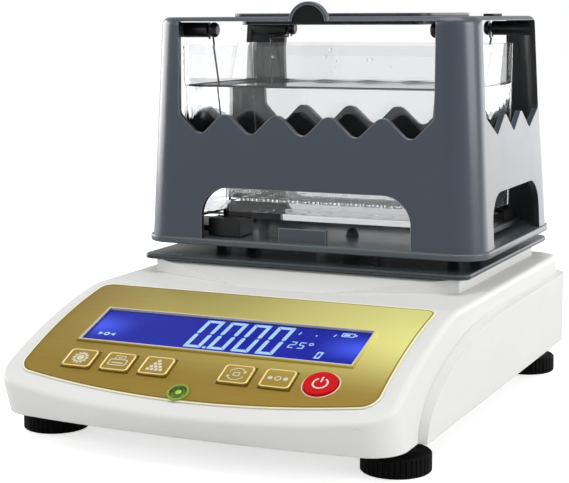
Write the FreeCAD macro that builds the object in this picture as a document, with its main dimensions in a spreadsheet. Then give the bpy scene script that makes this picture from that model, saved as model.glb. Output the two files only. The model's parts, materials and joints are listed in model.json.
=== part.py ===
import FreeCAD, Part
import Sketcher
import math
import os

# Electronic gold tester: a precision balance whose pan carries a grey frame.
# The frame reaches round a clear water tank, which stands on the housing and
# not on the pan. A basket hangs from the frame into the water.
#
# Frame of reference: +Z up, +X to the user's right, the keys face -Y.
# The origin is on the table, in the middle of the four feet. Lengths in mm.

doc = FreeCAD.newDocument("GoldTester")

# ---------------------------------------------------------------------------
# Sizes
# ---------------------------------------------------------------------------

SIZES = [
    # housing
    ("skirt_bottom", 13.7, "lowest edge of the housing above the table"),
    ("deck_level", 61.0, "flat deck round the plateau"),
    ("shell_half_width", 98.5, "half width of the shell at its lowest edge"),
    ("shell_lean", 1.5, "lean of each side wall up to the flat deck"),
    ("shell_rear", 138.0, "rear wall of the shell"),
    ("shell_wall", 2.5, "wall of the top shell"),
    ("corner_front", 17.0, "plan radius of the front corners"),
    ("corner_rear", 14.0, "plan radius of the rear corners"),
    ("nose_low", 118.7, "front corner centres at the lowest edge, in front of the origin"),
    ("nose_high", 136.8, "front corner centres at the height of the flat deck"),
    ("bow_low", 6.0, "half angle of the bowed front at the lowest edge"),
    ("bow_high", 35.0, "half angle of the bowed front at the height of the flat deck"),
    ("crown_radius", 265.0, "radius of the crowned control deck"),
    ("crown_start", 49.5, "flat deck ends this far in front of the origin"),
    ("crown_slope", 8.77, "slope of the crown where the flat deck ends, in degrees"),
    ("skirt_proud", 4.0, "side skirts beyond the shell's lowest edge"),
    ("skirt_front", 106.0, "front end of the side skirts"),
    ("skirt_round_end", 6.0, "where the curved top edge of a skirt becomes straight"),
    ("skirt_top", 51.7, "top edge of the side skirts"),
    ("skirt_rear", 139.0, "rear end of the side skirts"),
    ("plateau_half_width", 84.0, "half width of the raised plateau"),
    ("plateau_front", 8.0, "front face of the plateau in front of the origin"),
    ("plateau_rear", 128.0, "rear face of the plateau"),
    ("plateau_top", 68.4, "top of the plateau, seat of the lower tray"),
    ("plateau_corner", 6.0, "plan radius of the plateau's rear corners"),
    ("ramp_front", 33.5, "foot of the ramp in front of the origin"),
    ("ramp_half_width", 22.5, "half width of the ramp at its foot"),
    ("edge_round", 2.5, "rounding of the deck's outer edge"),
    # bottom cover and screws
    ("cover_lift", 0.5, "bottom cover above the shell's lowest edge"),
    ("cover_thick", 3.0, "thickness of the bottom cover"),
    ("cover_gap", 0.3, "gap between cover and shell"),
    ("screw_inset", 24.5, "case screws in from the shell's side"),
    ("screw_front", 66.0, "front case screws in front of the origin, behind the display"),
    ("screw_rear", 124.0, "rear case screws behind the origin"),
    ("screw_radius", 1.5, "shank radius of a case screw"),
    ("screw_head_radius", 3.0, "head radius of a case screw"),
    ("screw_head", 1.6, "head height of a case screw"),
    ("screw_length", 12.0, "shank length of a case screw"),
    ("screw_slot", 0.8, "width of the slot in a screw's head"),
    ("boss_radius", 4.5, "radius of a screw boss in the shell"),
    # feet
    ("foot_inset", 11.4, "feet in from the shell's side"),
    ("foot_along", 102.6, "feet from the middle, along"),
    ("knob_radius", 15.7, "radius of a foot knob over its ribs"),
    ("knob_height", 8.5, "height of a foot knob"),
    ("knob_chamfer", 0.6, "chamfer of a foot knob's rims"),
    ("knob_rib_depth", 0.5, "depth of the grooves round a knob"),
    ("knob_rib_width", 0.8, "width of those grooves"),
    ("knob_ribs", 40.0, "grooves round a knob"),
    ("hub_radius", 8.5, "hub on top of a knob"),
    ("hub_height", 2.6, "height of the hub"),
    ("stud_radius", 3.95, "radius of a foot stud"),
    ("stud_top", 24.0, "upper end of a foot stud above the table"),
    ("stud_sink", 2.1, "lower end of a foot stud above the table"),
    ("stud_gap", 0.05, "radial running gap of a stud in its boss"),
    ("foot_boss_radius", 8.0, "foot boss of the bottom cover"),
    ("foot_boss_height", 10.0, "height of the foot boss above the cover"),
    # control panel
    ("panel_margin", 8.6, "gold panel in from the deck's side"),
    ("panel_set_in", 2.8, "upper edge of the panel in front of the flat deck's end"),
    ("panel_side_end", 124.5, "panel side edges end this far in front of the origin"),
    ("panel_bow", 10.0, "half angle of the panel's bowed lower edge"),
    ("panel_corner_low", 8.0, "radius of the lower panel corners"),
    ("panel_corner_high", 5.5, "radius of the upper panel corners"),
    ("panel_thick", 0.6, "thickness of the gold panel"),
    ("lcd_front", 94.8, "middle of the display in front of the origin"),
    ("lcd_half_length", 68.5, "half length of the display window"),
    ("lcd_half_height", 14.4, "half height of the display window"),
    ("bezel_border", 1.5, "visible border of the display bezel"),
    ("bezel_proud", 1.1, "bezel above the deck at its middle"),
    ("window_thick", 1.2, "thickness of the display window"),
    ("window_sink", 0.3, "window below the bezel's face"),
    ("module_overlap", 3.5, "display module beyond the bezel on each side"),
    ("module_depth", 6.5, "depth of the display module's case"),
    ("module_gap", 1.1, "module's case below the deck's wall, which curves over it"),
    ("fit_gap", 0.1, "gap round a piece that is fixed in an opening"),
    ("key_front", 121.9, "row of keys in front of the origin"),
    ("key_pitch", 20.0, "spacing of the keys"),
    ("key_width", 14.8, "key cap along the row"),
    ("key_height", 12.6, "key cap up the slope"),
    ("key_corner", 2.0, "corner radius of a key cap"),
    ("key_proud", 1.6, "key cap above the deck"),
    ("key_cap", 4.2, "thickness of a key cap"),
    ("key_gap", 0.35, "gap round a key cap"),
    ("key_stem_radius", 1.6, "radius of the stem under a key cap"),
    ("key_stem", 2.4, "length of the stem"),
    ("power_radius", 7.6, "radius of the round power key"),
    ("switch_size", 6.0, "side of a key switch"),
    ("switch_height", 3.6, "height of a key switch"),
    ("switch_gap", 1.0, "free travel between stem and switch"),
    ("keyboard_half_length", 72.0, "half length of the keypad board"),
    ("keyboard_half_height", 7.5, "half height of the keypad board"),
    ("board_thick", 1.6, "thickness of a circuit board"),
    ("post_radius", 2.2, "posts that carry the boards"),
    ("level_front", 135.4, "bubble level in front of the origin"),
    ("level_across", -1.9, "bubble level from the middle"),
    ("level_radius", 5.1, "radius of the level's cup"),
    ("level_wall", 0.9, "rim of the level's cup"),
    ("level_proud", 1.4, "level above the deck"),
    ("level_depth", 5.0, "height of the level's cup"),
    ("lens_height", 3.4, "depth of the cup's bore, which the lens fills"),
    ("lens_sink", 0.2, "lens below the cup's rim"),
    # weighing cell
    ("cell_middle", 61.6, "middle of the weighing cell and trays behind the origin"),
    ("cell_half_length", 60.0, "half length of the load cell"),
    ("cell_half_width", 12.0, "half width of the load cell"),
    ("cell_height", 20.0, "height of the load cell"),
    ("cell_spacer", 6.0, "spacer under the fixed end"),
    ("cell_end", 26.0, "length of each clamped end"),
    ("cell_slot_radius", 6.0, "radius of the flexure holes"),
    ("cell_slot_offset", 14.0, "flexure holes from the cell's middle"),
    ("cell_slot_half", 2.0, "half height of the slot between the flexure holes"),
    ("bracket_gap", 0.4, "overload gap between cell and bracket"),
    ("bracket_step", 3.4, "step under the bracket's end"),
    ("bracket_thick", 3.0, "thickness of the pan bracket"),
    ("bracket_reach", 14.0, "bracket beyond the middle"),
    ("post_pan_radius", 7.0, "radius of the pan post"),
    ("post_clear", 3.0, "clearance of the post in plateau and lower tray"),
    ("flange_radius", 20.0, "flange on top of the pan post"),
    ("flange_thick", 2.4, "thickness of that flange"),
    # trays
    ("lower_half_width", 89.8, "half width of the lower tray"),
    ("lower_front", 13.8, "lower tray in front of the origin"),
    ("lower_rear", 135.4, "lower tray behind the origin"),
    ("lower_thick", 2.6, "thickness of the lower tray"),
    ("lower_corner", 6.0, "plan radius of the lower tray"),
    ("upper_half_width", 94.4, "half width of the upper tray"),
    ("upper_front", 7.3, "upper tray in front of the origin"),
    ("upper_rear", 130.5, "upper tray behind the origin"),
    ("upper_thick", 3.5, "thickness of the upper tray"),
    ("upper_corner", 16.0, "plan radius of the upper tray"),
    ("tray_round", 0.8, "rounding of both trays' edges"),
    ("tray_space", 5.4, "air gap between the two trays"),
    ("tab_half_width", 13.2, "half width of the tab on the upper tray"),
    ("tab_shift", -2.0, "middle of the tab"),
    ("tab_height", 7.2, "height of the tab"),
    ("tab_thick", 2.2, "thickness of the tab"),
    ("tab_set_back", 4.6, "tab behind the upper tray's front edge"),
    ("dome_across", 11.7, "dome stud from the middle"),
    ("dome_along", 32.0, "dome stud behind the origin"),
    ("dome_radius", 3.6, "radius of the dome stud"),
    ("dome_height", 4.8, "height of the dome stud"),
    # frame (cage)
    ("cage_height", 114.7, "height of the frame"),
    ("cage_half_width", 93.2, "half width of the frame at its foot"),
    ("cage_front", 6.4, "front of the frame's foot in front of the origin"),
    ("cage_rear", 129.6, "rear of the frame's foot behind the origin"),
    ("cage_draft_side", 6.4, "lean of each side wall over the height"),
    ("cage_draft_front", 2.0, "lean of the front wall over the height"),
    ("cage_draft_rear", 7.0, "lean of the rear wall over the height"),
    ("cage_corner", 16.0, "outer radius of the frame's posts"),
    ("cage_wall", 3.0, "wall of the frame"),
    ("cage_top", 2.2, "thickness of the frame's top"),
    ("cage_round", 4.0, "rounding of the frame's upper edge"),
    ("window_half", 70.2, "half width of the front window"),
    ("window_shift", -0.9, "middle of the front window from the middle"),
    ("window_rear_half", 67.8, "half width of the rear window"),
    ("window_side_half", 47.6, "half length of the side windows"),
    ("tooth_pitch", 29.0, "pitch of the teeth along the front and side sills"),
    ("tooth_low", 53.3, "valleys of the front and rear teeth above the frame's foot"),
    ("tooth_high", 66.9, "peaks of the front and rear teeth above the frame's foot"),
    ("tooth_round", 5.0, "rounding of the front and rear teeth"),
    ("tooth_end", 65.2, "upright edges of every window end above the frame's foot"),
    ("tooth_rear_pitch", 27.5, "pitch of the teeth along the rear sill"),
    ("tooth_rear_shift", -3.1, "middle of the rear teeth from the middle"),
    ("tooth_side_low", 55.4, "valleys of the side teeth above the frame's foot"),
    ("tooth_side_high", 66.0, "peaks of the side teeth above the frame's foot"),
    ("tooth_side_round", 3.0, "rounding of the side teeth"),
    ("arch_half", 58.0, "half width of the arched openings, front and rear"),
    ("arch_side_half", 42.5, "half length of the arched openings in the sides"),
    ("arch_height", 27.0, "height of the arched openings"),
    ("arch_round", 15.0, "corner radius of the arched openings"),
    ("lug_shift", 2.2, "lug from the middle"),
    ("lug_radius", 10.8, "outer radius of the half-round lug"),
    ("lug_rise", 7.6, "lug above the frame's top"),
    ("lug_thick", 3.2, "thickness of the lug"),
    ("lug_rim", 1.7, "rim round the lug's recess"),
    ("lug_recess", 1.2, "depth of the lug's recess"),
    ("insert_thick", 0.6, "thickness of the dark insert in the recess"),
    ("pad_half", 8.0, "half length of a rail pad"),
    ("pad_height", 1.2, "height of a rail pad"),
    ("pad_width", 5.0, "width of a rail pad"),
    ("pad_shift", 9.0, "rail pad in front of the frame's middle"),
    # dish in the frame's top
    ("dish_half_width", 51.0, "half width of the dish"),
    ("dish_half_depth", 37.5, "half depth of the dish"),
    ("dish_flange", 4.0, "flange of the dish round its well"),
    ("dish_thick", 1.8, "thickness of the dish"),
    ("dish_depth", 4.2, "depth of the dish below its flange"),
    ("dish_corner", 8.0, "corner radius of the dish"),
    ("dish_gap", 0.5, "gap round the dish in the frame's top"),
    # hook arms, basket
    ("arm_reach_front", 58.9, "tip of a front hook arm from the front arms' middle"),
    ("arm_reach_rear", 57.4, "tip of a rear hook arm from the middle"),
    ("arm_shift", 3.4, "the front arms' middle from the middle"),
    ("sleeve_reach", 74.4, "inner end of an arm's sleeve from the middle"),
    ("arm_along", 51.6, "hook arms from the middle, along"),
    ("arm_radius", 3.9, "radius of a hook arm and of its sleeve"),
    ("arm_drop", 0.5, "hook arm below the frame's top plate"),
    ("groove_inset", 3.8, "groove from the tip of a hook arm"),
    ("groove_width", 2.0, "width of the groove"),
    ("groove_radius", 1.4, "radius of the arm in its groove"),
    ("wire_radius", 0.5, "radius of a hanging wire"),
    ("wire_rest", 0.3, "gap between a wire and its groove"),
    ("wire_drop", 7.0, "free end of the wire's hook below the groove's top"),
    ("wire_run", 13.5, "run of a rear wire forwards over the tank's rim"),
    ("wire_fall", 0.7, "fall of that run"),
    ("wire_spread", 4.8, "spread of that run outwards"),
    ("wire_inset", 8.0, "lower ends of the wires in from the basket's front and rear"),
    ("basket_half_width", 57.0, "half width of the basket"),
    ("basket_half_depth", 35.0, "half depth of the basket"),
    ("basket_rim", 8.0, "height of the basket's rim"),
    ("basket_wall", 1.4, "wall of the basket"),
    ("basket_corner", 6.0, "corner radius of the basket"),
    ("basket_hole_radius", 2.2, "holes in the basket's floor"),
    ("basket_hole_pitch", 12.0, "pitch of the holes"),
    ("basket_above_floor", 5.0, "basket above the tank's floor"),
    # tank and stand
    ("tank_half_width", 77.9, "half width of the tank at its floor"),
    ("tank_half_depth", 46.0, "half depth of the tank at its floor"),
    ("tank_middle", 55.6, "middle of the tank behind the origin"),
    ("tank_height", 90.4, "height of the tank"),
    ("tank_draft", 0.7, "lean of the tank's walls over the height"),
    ("tank_wall", 2.2, "wall of the tank"),
    ("tank_floor", 3.0, "floor of the tank"),
    ("tank_corner", 7.0, "plan radius of the tank"),
    ("stand_half_width", 82.0, "half width of the tank stand"),
    ("stand_rail", 19.0, "width of the stand's side rails"),
    ("stand_front", 8.0, "front of the stand's rails behind the origin"),
    ("stand_rear", 104.0, "rear of the stand behind the origin"),
    ("stand_cross", 22.0, "width of the stand's cross rail"),
    ("stand_plate", 2.8, "thickness of the stand's rails"),
    ("stand_lift", 2.1, "stand's rails above the upper tray"),
    ("block_height", 4.8, "tank blocks above the rails"),
    ("block_depth", 16.0, "depth of a tank block"),
    ("block_front", 3.0, "front of the front left block behind the origin"),
    ("block_inset", 4.0, "outer end of a corner block in from the stand's side"),
    ("block_left", 40.2, "inner end of the front left block from the middle"),
    ("block_length", 18.4, "length of a tank block"),
    ("leg_size", 6.0, "side of a stand leg"),
    ("leg_side_inset", 12.0, "leg in from the stand's side"),
    ("leg_end_inset", 26.0, "leg in from the stand's front and rear"),
    ("leg_clear", 2.0, "clearance of a leg in the upper tray"),
    # electronics
    ("main_half_width", 40.0, "half width of the main board"),
    ("main_front", 70.0, "front edge of the main board in front of the origin"),
    ("main_rear", 15.0, "rear edge of the main board in front of the origin"),
    ("main_lift", 6.0, "main board above the bottom cover"),
    ("inlet_across", -62.0, "DC inlet from the middle"),
    ("inlet_level", 28.0, "height of the sockets' middle"),
    ("inlet_half", 5.5, "half side of the DC inlet's body"),
    ("inlet_depth", 13.0, "depth of the DC inlet"),
    ("inlet_bore", 3.2, "bore of the DC inlet"),
    ("inlet_pin", 1.0, "centre pin of the DC inlet"),
    ("serial_across", 48.0, "serial socket from the middle"),
    ("serial_half_width", 15.4, "half width of the serial socket"),
    ("serial_half_height", 6.2, "half height of the serial socket"),
    ("serial_depth", 12.0, "depth of the serial socket"),
    ("serial_well", 5.0, "depth of the serial socket's well"),
    ("serial_rim", 1.5, "rim of the serial socket above and below its well"),
    ("socket_proud", 0.4, "sockets behind the rear wall"),
]

sheet = doc.addObject("Spreadsheet::Sheet", "Sizes")
for row, (alias, number, note) in enumerate(SIZES, start=1):
    sheet.set("A%d" % row, str(number))
    sheet.setAlias("A%d" % row, alias)
    sheet.set("B%d" % row, note)
doc.recompute()


class Size:
    """A length or angle that knows both its value and its sheet formula."""

    def __init__(self, text, value):
        self.text = text
        self.value = float(value)

    @staticmethod
    def of(thing):
        return thing if isinstance(thing, Size) else Size("%.9g" % thing, thing)

    def __add__(self, other):
        other = Size.of(other)
        return Size("(%s + %s)" % (self.text, other.text), self.value + other.value)

    def __sub__(self, other):
        other = Size.of(other)
        return Size("(%s - (%s))" % (self.text, other.text), self.value - other.value)

    def __mul__(self, other):
        other = Size.of(other)
        return Size("(%s * %s)" % (self.text, other.text), self.value * other.value)

    def __truediv__(self, other):
        other = Size.of(other)
        return Size("(%s / %s)" % (self.text, other.text), self.value / other.value)

    def __radd__(self, other):
        return Size.of(other) + self

    def __rsub__(self, other):
        return Size.of(other) - self

    def __rmul__(self, other):
        return Size.of(other) * self

    def __neg__(self):
        return Size("(0 - %s)" % self.text, -self.value)


def root(size):
    return Size("sqrt(%s)" % size.text, math.sqrt(size.value))


def sine(size):
    return Size("sin(%s * 1 deg)" % size.text, math.sin(math.radians(size.value)))


def cosine(size):
    return Size("cos(%s * 1 deg)" % size.text, math.cos(math.radians(size.value)))


class Sheet:
    """Gives sheet.alias as a Size."""

    def __getattr__(self, alias):
        return Size("Sizes.%s" % alias, float(sheet.get(alias)))


S = Sheet()
ZERO = Size("0", 0.0)

# ---------------------------------------------------------------------------
# Small vocabulary: every helper makes document objects bound to the sheet
# ---------------------------------------------------------------------------

PLANES = {
    "XY": FreeCAD.Rotation(),
    "XZ": FreeCAD.Rotation(FreeCAD.Vector(1, 0, 0), 90),       # extrudes towards -Y
    "YZ": FreeCAD.Rotation(FreeCAD.Vector(1, 1, 1), 120),      # extrudes towards +X
}
NORMALS = {"XY": FreeCAD.Vector(0, 0, 1), "XZ": FreeCAD.Vector(0, -1, 0), "YZ": FreeCAD.Vector(1, 0, 0)}
FLAT = 0.01           # mm, the most that a level edge rises
ON_DECK = 0.05        # mm, how near an edge's middle lies to the deck that it bounds
PARALLEL = 0.1        # the sine of the widest angle between edges that count as parallel


def bind(thing, path, size):
    size = Size.of(size)
    if "Sizes." in size.text:
        thing.setExpression(path, size.text)
    return size.value


def move(thing, x=ZERO, y=ZERO, z=ZERO):
    """Sets the position of an object from three sizes."""
    x, y, z = Size.of(x), Size.of(y), Size.of(z)
    thing.Placement = FreeCAD.Placement(FreeCAD.Vector(x.value, y.value, z.value), thing.Placement.Rotation)
    for axis, size in (("x", x), ("y", y), ("z", z)):
        bind(thing, "Placement.Base.%s" % axis, size)
    return thing


def box(name, x0, x1, y0, y1, z0, z1):
    thing = doc.addObject("Part::Box", name)
    for path, low, high in (("Length", x0, x1), ("Width", y0, y1), ("Height", z0, z1)):
        span = Size.of(high) - Size.of(low)
        setattr(thing, path, span.value)
        bind(thing, path, span)
    return move(thing, x0, y0, z0)


def cylinder(name, radius, height, x=ZERO, y=ZERO, z=ZERO):
    thing = doc.addObject("Part::Cylinder", name)
    for path, size in (("Radius", radius), ("Height", height)):
        size = Size.of(size)
        setattr(thing, path, size.value)
        bind(thing, path, size)
    return move(thing, x, y, z)


def turned(thing, axis, angle):
    """Turns an object about its own base point by a size in degrees."""
    angle = Size.of(angle)
    thing.Placement = FreeCAD.Placement(thing.Placement.Base, FreeCAD.Rotation(axis, angle.value))
    bind(thing, "Placement.Rotation.Angle", angle)
    return thing


def draw(sketch, points, arcs=None):
    """Draws a closed outline. points are (u, v) sizes; arcs maps the index of
    an edge to (radius, side), side +1 when it bulges to the right of travel."""
    arcs = arcs or {}
    corners = [(Size.of(u), Size.of(v)) for u, v in points]
    flat = [FreeCAD.Vector(u.value, v.value, 0) for u, v in corners]
    count = len(corners)
    edges, ends, rules = [], [], []
    start = sketch.GeometryCount
    for i, a in enumerate(flat):
        b = flat[(i + 1) % count]
        if i in arcs:
            radius, side = Size.of(arcs[i][0]), arcs[i][1]
            chord = b - a
            right = FreeCAD.Vector(chord.y, -chord.x, 0).normalize()
            rise = math.sqrt(max(radius.value ** 2 - (chord.Length / 2) ** 2, 0))
            edges.append(Part.Arc(a, (a + b) * 0.5 + right * (side * (radius.value - rise)), b))
            ends.append((1, 2) if side > 0 else (2, 1))
            rules.append((Sketcher.Constraint("Radius", start + i, radius.value), radius))
        else:
            edges.append(Part.LineSegment(a, b))
            ends.append((1, 2))
    sketch.addGeometry(edges, False)
    for i in range(count):
        following = (i + 1) % count
        rules.append((Sketcher.Constraint("Coincident", start + i, ends[i][1], start + following,
                                          ends[following][0]), ZERO))
        rules.append((Sketcher.Constraint("DistanceX", -1, 1, start + i, ends[i][0], flat[i].x),
                      corners[i][0]))
        rules.append((Sketcher.Constraint("DistanceY", -1, 1, start + i, ends[i][0], flat[i].y),
                      corners[i][1]))
    return constrain(sketch, rules)


def draw_circles(sketch, circles):
    """Draws circles (u, v, radius) into a sketch."""
    rules = []
    start = sketch.GeometryCount
    sizes = [tuple(Size.of(s) for s in circle) for circle in circles]
    sketch.addGeometry([Part.Circle(FreeCAD.Vector(u.value, v.value, 0), FreeCAD.Vector(0, 0, 1), r.value)
                        for u, v, r in sizes], False)
    for i, (u, v, r) in enumerate(sizes):
        rules.append((Sketcher.Constraint("Radius", start + i, r.value), r))
        rules.append((Sketcher.Constraint("DistanceX", -1, 1, start + i, 3, u.value), u))
        rules.append((Sketcher.Constraint("DistanceY", -1, 1, start + i, 3, v.value), v))
    return constrain(sketch, rules)


def constrain(sketch, rules):
    """Adds constraints at once, then binds those whose size is in the sheet."""
    first = sketch.ConstraintCount
    sketch.addConstraint([rule for rule, size in rules])
    for number, (rule, size) in enumerate(rules, start=first):
        bind(sketch, "Constraints[%d]" % number, size)
    return sketch


def sketch_on(name, plane, points, arcs=None, x=ZERO, y=ZERO, z=ZERO):
    sketch = doc.addObject("Sketcher::SketchObject", name)
    sketch.Placement = FreeCAD.Placement(FreeCAD.Vector(), PLANES[plane])
    draw(sketch, points, arcs)
    return move(sketch, x, y, z)


def prism(name, plane, points, length, arcs=None, x=ZERO, y=ZERO, z=ZERO, both=False):
    """Extrudes an outline from its plane, to one side or to both."""
    sketch = sketch_on(name + "_outline", plane, points, arcs, x, y, z)
    thing = doc.addObject("Part::Extrusion", name)
    thing.Base = sketch
    thing.DirMode = "Custom"
    thing.Dir = NORMALS[plane]
    thing.Solid = True
    thing.Symmetric = both
    thing.LengthFwd = bind(thing, "LengthFwd", length)
    return thing


def rounded(half_x, y0, y1, radius):
    """Outline of a rectangle with round corners, about X = 0."""
    h, y0, y1, r = (Size.of(s) for s in (half_x, y0, y1, radius))
    points = [(-h + r, y0), (h - r, y0), (h, y0 + r), (h, y1 - r),
              (h - r, y1), (-h + r, y1), (-h, y1 - r), (-h, y0 + r)]
    return points, {1: (r, 1), 3: (r, 1), 5: (r, 1), 7: (r, 1)}


def body_plate(name, half_x, y0, y1, radius, z0, thick, edge_round=None):
    """A PartDesign body: one rounded plate padded upwards from z0, with its
    upper and lower edges rounded where a size for that is given."""
    body = doc.addObject("PartDesign::Body", name)
    sketch = body.newObject("Sketcher::SketchObject", name + "_plan")
    plane = [f for f in body.Origin.OriginFeatures if f.Role == "XY_Plane"][0]
    sketch.AttachmentSupport = [(plane, "")]
    sketch.MapMode = "FlatFace"
    points, arcs = rounded(half_x, y0, y1, radius)
    draw(sketch, points, arcs)
    pad = body.newObject("PartDesign::Pad", name + "_pad")
    pad.Profile = sketch
    pad.Length = bind(pad, "Length", thick)
    if edge_round:
        doc.recompute()
        fillet = body.newObject("PartDesign::Fillet", name + "_edge_round")
        fillet.Base = (pad, ["Edge%d" % n for n, edge in enumerate(pad.Shape.Edges, start=1)
                             if edge.BoundBox.ZLength < FLAT])
        fillet.Radius = bind(fillet, "Radius", edge_round)
    move(body, z=z0)
    return body


def body_pocket(body, name, depth, outlines=(), circles=(), at=ZERO):
    """Cuts outlines (points, arcs) and circles (x, y, radius) into a body,
    upwards from the height at above its plane."""
    sketch = body.newObject("Sketcher::SketchObject", name + "_plan")
    plane = [f for f in body.Origin.OriginFeatures if f.Role == "XY_Plane"][0]
    sketch.AttachmentSupport = [(plane, "")]
    sketch.MapMode = "FlatFace"
    at = Size.of(at)
    sketch.AttachmentOffset = FreeCAD.Placement(FreeCAD.Vector(0, 0, at.value), FreeCAD.Rotation())
    bind(sketch, "AttachmentOffset.Base.z", at)
    for points, arcs in outlines:
        draw(sketch, points, arcs)
    if circles:
        draw_circles(sketch, circles)
    doc.recompute()
    before = body.Shape.Volume
    pocket = body.newObject("PartDesign::Pocket", name)
    pocket.Profile = sketch
    pocket.Length = bind(pocket, "Length", depth)
    pocket.Reversed = True
    doc.recompute()
    if body.Shape.Volume >= before:
        raise RuntimeError("pocket %s cuts nothing" % name)
    return pocket


def join(name, *things):
    thing = doc.addObject("Part::MultiFuse", name)
    thing.Shapes = list(things)
    return thing


def cut(name, base, *tools):
    thing = doc.addObject("Part::Cut", name)
    thing.Base = base
    thing.Tool = tools[0] if len(tools) == 1 else join(name + "_tools", *tools)
    return thing


def common(name, one, two):
    thing = doc.addObject("Part::Common", name)
    thing.Base, thing.Tool = one, two
    return thing


def ruled_loft(name, low, high):
    thing = doc.addObject("Part::Loft", name)
    thing.Sections = [low, high]
    thing.Solid = True
    thing.Ruled = True
    return thing


def runs_along(edge, direction):
    """True where a straight edge is parallel to a direction of length one."""
    return edge.tangentAt(edge.FirstParameter).cross(direction).Length < PARALLEL


NODES = []


def part(label, thing):
    """Names a finished sub-part; the label is also its file's name."""
    thing.Label = label
    NODES.append(thing)
    return thing


# ---------------------------------------------------------------------------
# The crowned control deck: a cylinder about an axis along X
# ---------------------------------------------------------------------------

crown_axis_front = S.crown_start - S.crown_radius * sine(S.crown_slope)
crown_axis_depth = S.crown_radius * cosine(S.crown_slope) - S.deck_level


def deck_height(front, sink=ZERO):
    """Height of the deck at a distance in front of the origin."""
    r = S.crown_radius - sink
    d = Size.of(front) - crown_axis_front
    return root(r * r - d * d) - crown_axis_depth


def deck_slope(front):
    d = Size.of(front) - crown_axis_front
    return Size("asin(%s / %s) / 1 deg" % (d.text, S.crown_radius.text),
                math.degrees(math.asin(d.value / S.crown_radius.value)))


def on_deck(thing, front, x=ZERO, up=ZERO, out=ZERO):
    """Lays an object on the deck: its own Z along the deck's normal, its own Y
    up the slope, out along the normal and up the slope from the point named."""
    angle = deck_slope(front)
    rise, run = sine(angle), cosine(angle)
    up, out = Size.of(up), Size.of(out)
    y = -Size.of(front) + up * run - out * rise
    z = deck_height(front) + up * rise + out * run
    move(thing, x, y, z)
    return turned(thing, FreeCAD.Vector(1, 0, 0), angle)


def deck_box(name, front, x0, x1, up0, up1, out0, out1):
    """A box in the deck's own axes at the point named by front."""
    x0, x1, up0, up1, out0, out1 = (Size.of(s) for s in (x0, x1, up0, up1, out0, out1))
    thing = doc.addObject("Part::Box", name)
    for path, span in (("Length", x1 - x0), ("Width", up1 - up0), ("Height", out1 - out0)):
        setattr(thing, path, span.value)
        bind(thing, path, span)
    return on_deck(thing, front, x0, up0, out0)


def deck_cylinder(name, front, radius, out0, out1, x=ZERO, up=ZERO):
    out0, out1, radius = (Size.of(s) for s in (out0, out1, radius))
    thing = doc.addObject("Part::Cylinder", name)
    for path, span in (("Radius", radius), ("Height", out1 - out0)):
        setattr(thing, path, span.value)
        bind(thing, path, span)
    return on_deck(thing, front, x, up, out0)


FAR = S.shell_half_width * 3
deck_half_width = S.shell_half_width - S.shell_lean
skirt_half_width = S.shell_half_width + S.skirt_proud


def above_deck(name, sink):
    """Everything above the deck, lowered by sink, as a long prism along X."""
    sink = Size.of(sink)
    flat = S.deck_level - sink
    r = S.crown_radius - sink
    reach = r * r - (flat + crown_axis_depth) * (flat + crown_axis_depth)
    meet = -(root(reach) + crown_axis_front)
    front = S.nose_high + S.shell_half_width
    start = -front
    low = deck_height(front, sink)
    points = [(start, low), (meet, flat), (S.shell_rear * 2, flat), (S.shell_rear * 2, flat * 3),
              (start, flat * 3)]
    return prism(name, "YZ", points, FAR, {0: (r, -1)}, both=True)


def shell_plan(name, half, nose, bow, corner_f, corner_r, rear, z):
    """Plan of the housing: straight sides, bowed front, round corners."""
    half, nose, bow, cf, cr, rear = (Size.of(s) for s in (half, nose, bow, corner_f, corner_r, rear))
    cx = half - cf
    fx = cx + cf * sine(bow)
    fy = -(nose + cf * cosine(bow))
    points = [(-fx, fy), (fx, fy), (half, -nose), (half, rear - cr), (half - cr, rear),
              (-(half - cr), rear), (-half, rear - cr), (-half, -nose)]
    arcs = {0: (fx / sine(bow), 1), 1: (cf, 1), 3: (cr, 1), 5: (cr, 1), 7: (cf, 1)}
    return sketch_on(name, "XY", points, arcs, z=z)


def shell_solid(name, inset, low, high):
    """The housing's tapering block between two heights, inset by a wall. The
    front's rake makes the plan at any height a blend of the two named plans."""
    inset = Size.of(inset)
    plans = []
    for tag, z, t in (("low", low, ZERO), ("high", high, Size("1", 1.0))):
        half = S.shell_half_width if tag == "low" else deck_half_width
        nose = S.nose_low if tag == "low" else S.nose_high
        bow = S.bow_low if tag == "low" else S.bow_high
        plans.append(shell_plan("%s_%s" % (name, tag), half - inset, nose, bow,
                                S.corner_front - inset, S.corner_rear - inset, S.shell_rear - inset, z))
    return ruled_loft(name, plans[0], plans[1])


# --- top shell -------------------------------------------------------------

outer_block = shell_solid("shell_block", ZERO, S.skirt_bottom, S.deck_level)
outer = cut("shell_outer", outer_block, above_deck("above_shell", ZERO))
doc.recompute()


def deck_rim_edges(shape):
    """Edges where the deck meets the outer walls."""
    found = []
    for number, edge in enumerate(shape.Edges, start=1):
        p = edge.valueAt((edge.FirstParameter + edge.LastParameter) / 2)
        level = deck_height(-p.y).value if p.y < -S.crown_start.value else S.deck_level.value
        across = abs(p.x) < S.edge_round.value and -S.nose_low.value < p.y < S.shell_rear.value - ON_DECK
        if abs(p.z - level) < ON_DECK and not across:
            found.append(number)
    return found


rim = doc.addObject("Part::Fillet", "shell_rounded")
rim.Base = outer
rim.Edges = [(number, S.edge_round.value, S.edge_round.value) for number in deck_rim_edges(outer.Shape)]

plateau_points, plateau_arcs = rounded(S.plateau_half_width, -S.plateau_front, S.plateau_rear,
                                       S.plateau_corner)
plateau = prism("plateau", "XY", plateau_points, S.plateau_top - S.deck_level + S.shell_wall * 2,
                plateau_arcs, z=S.deck_level - S.shell_wall * 2)

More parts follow.
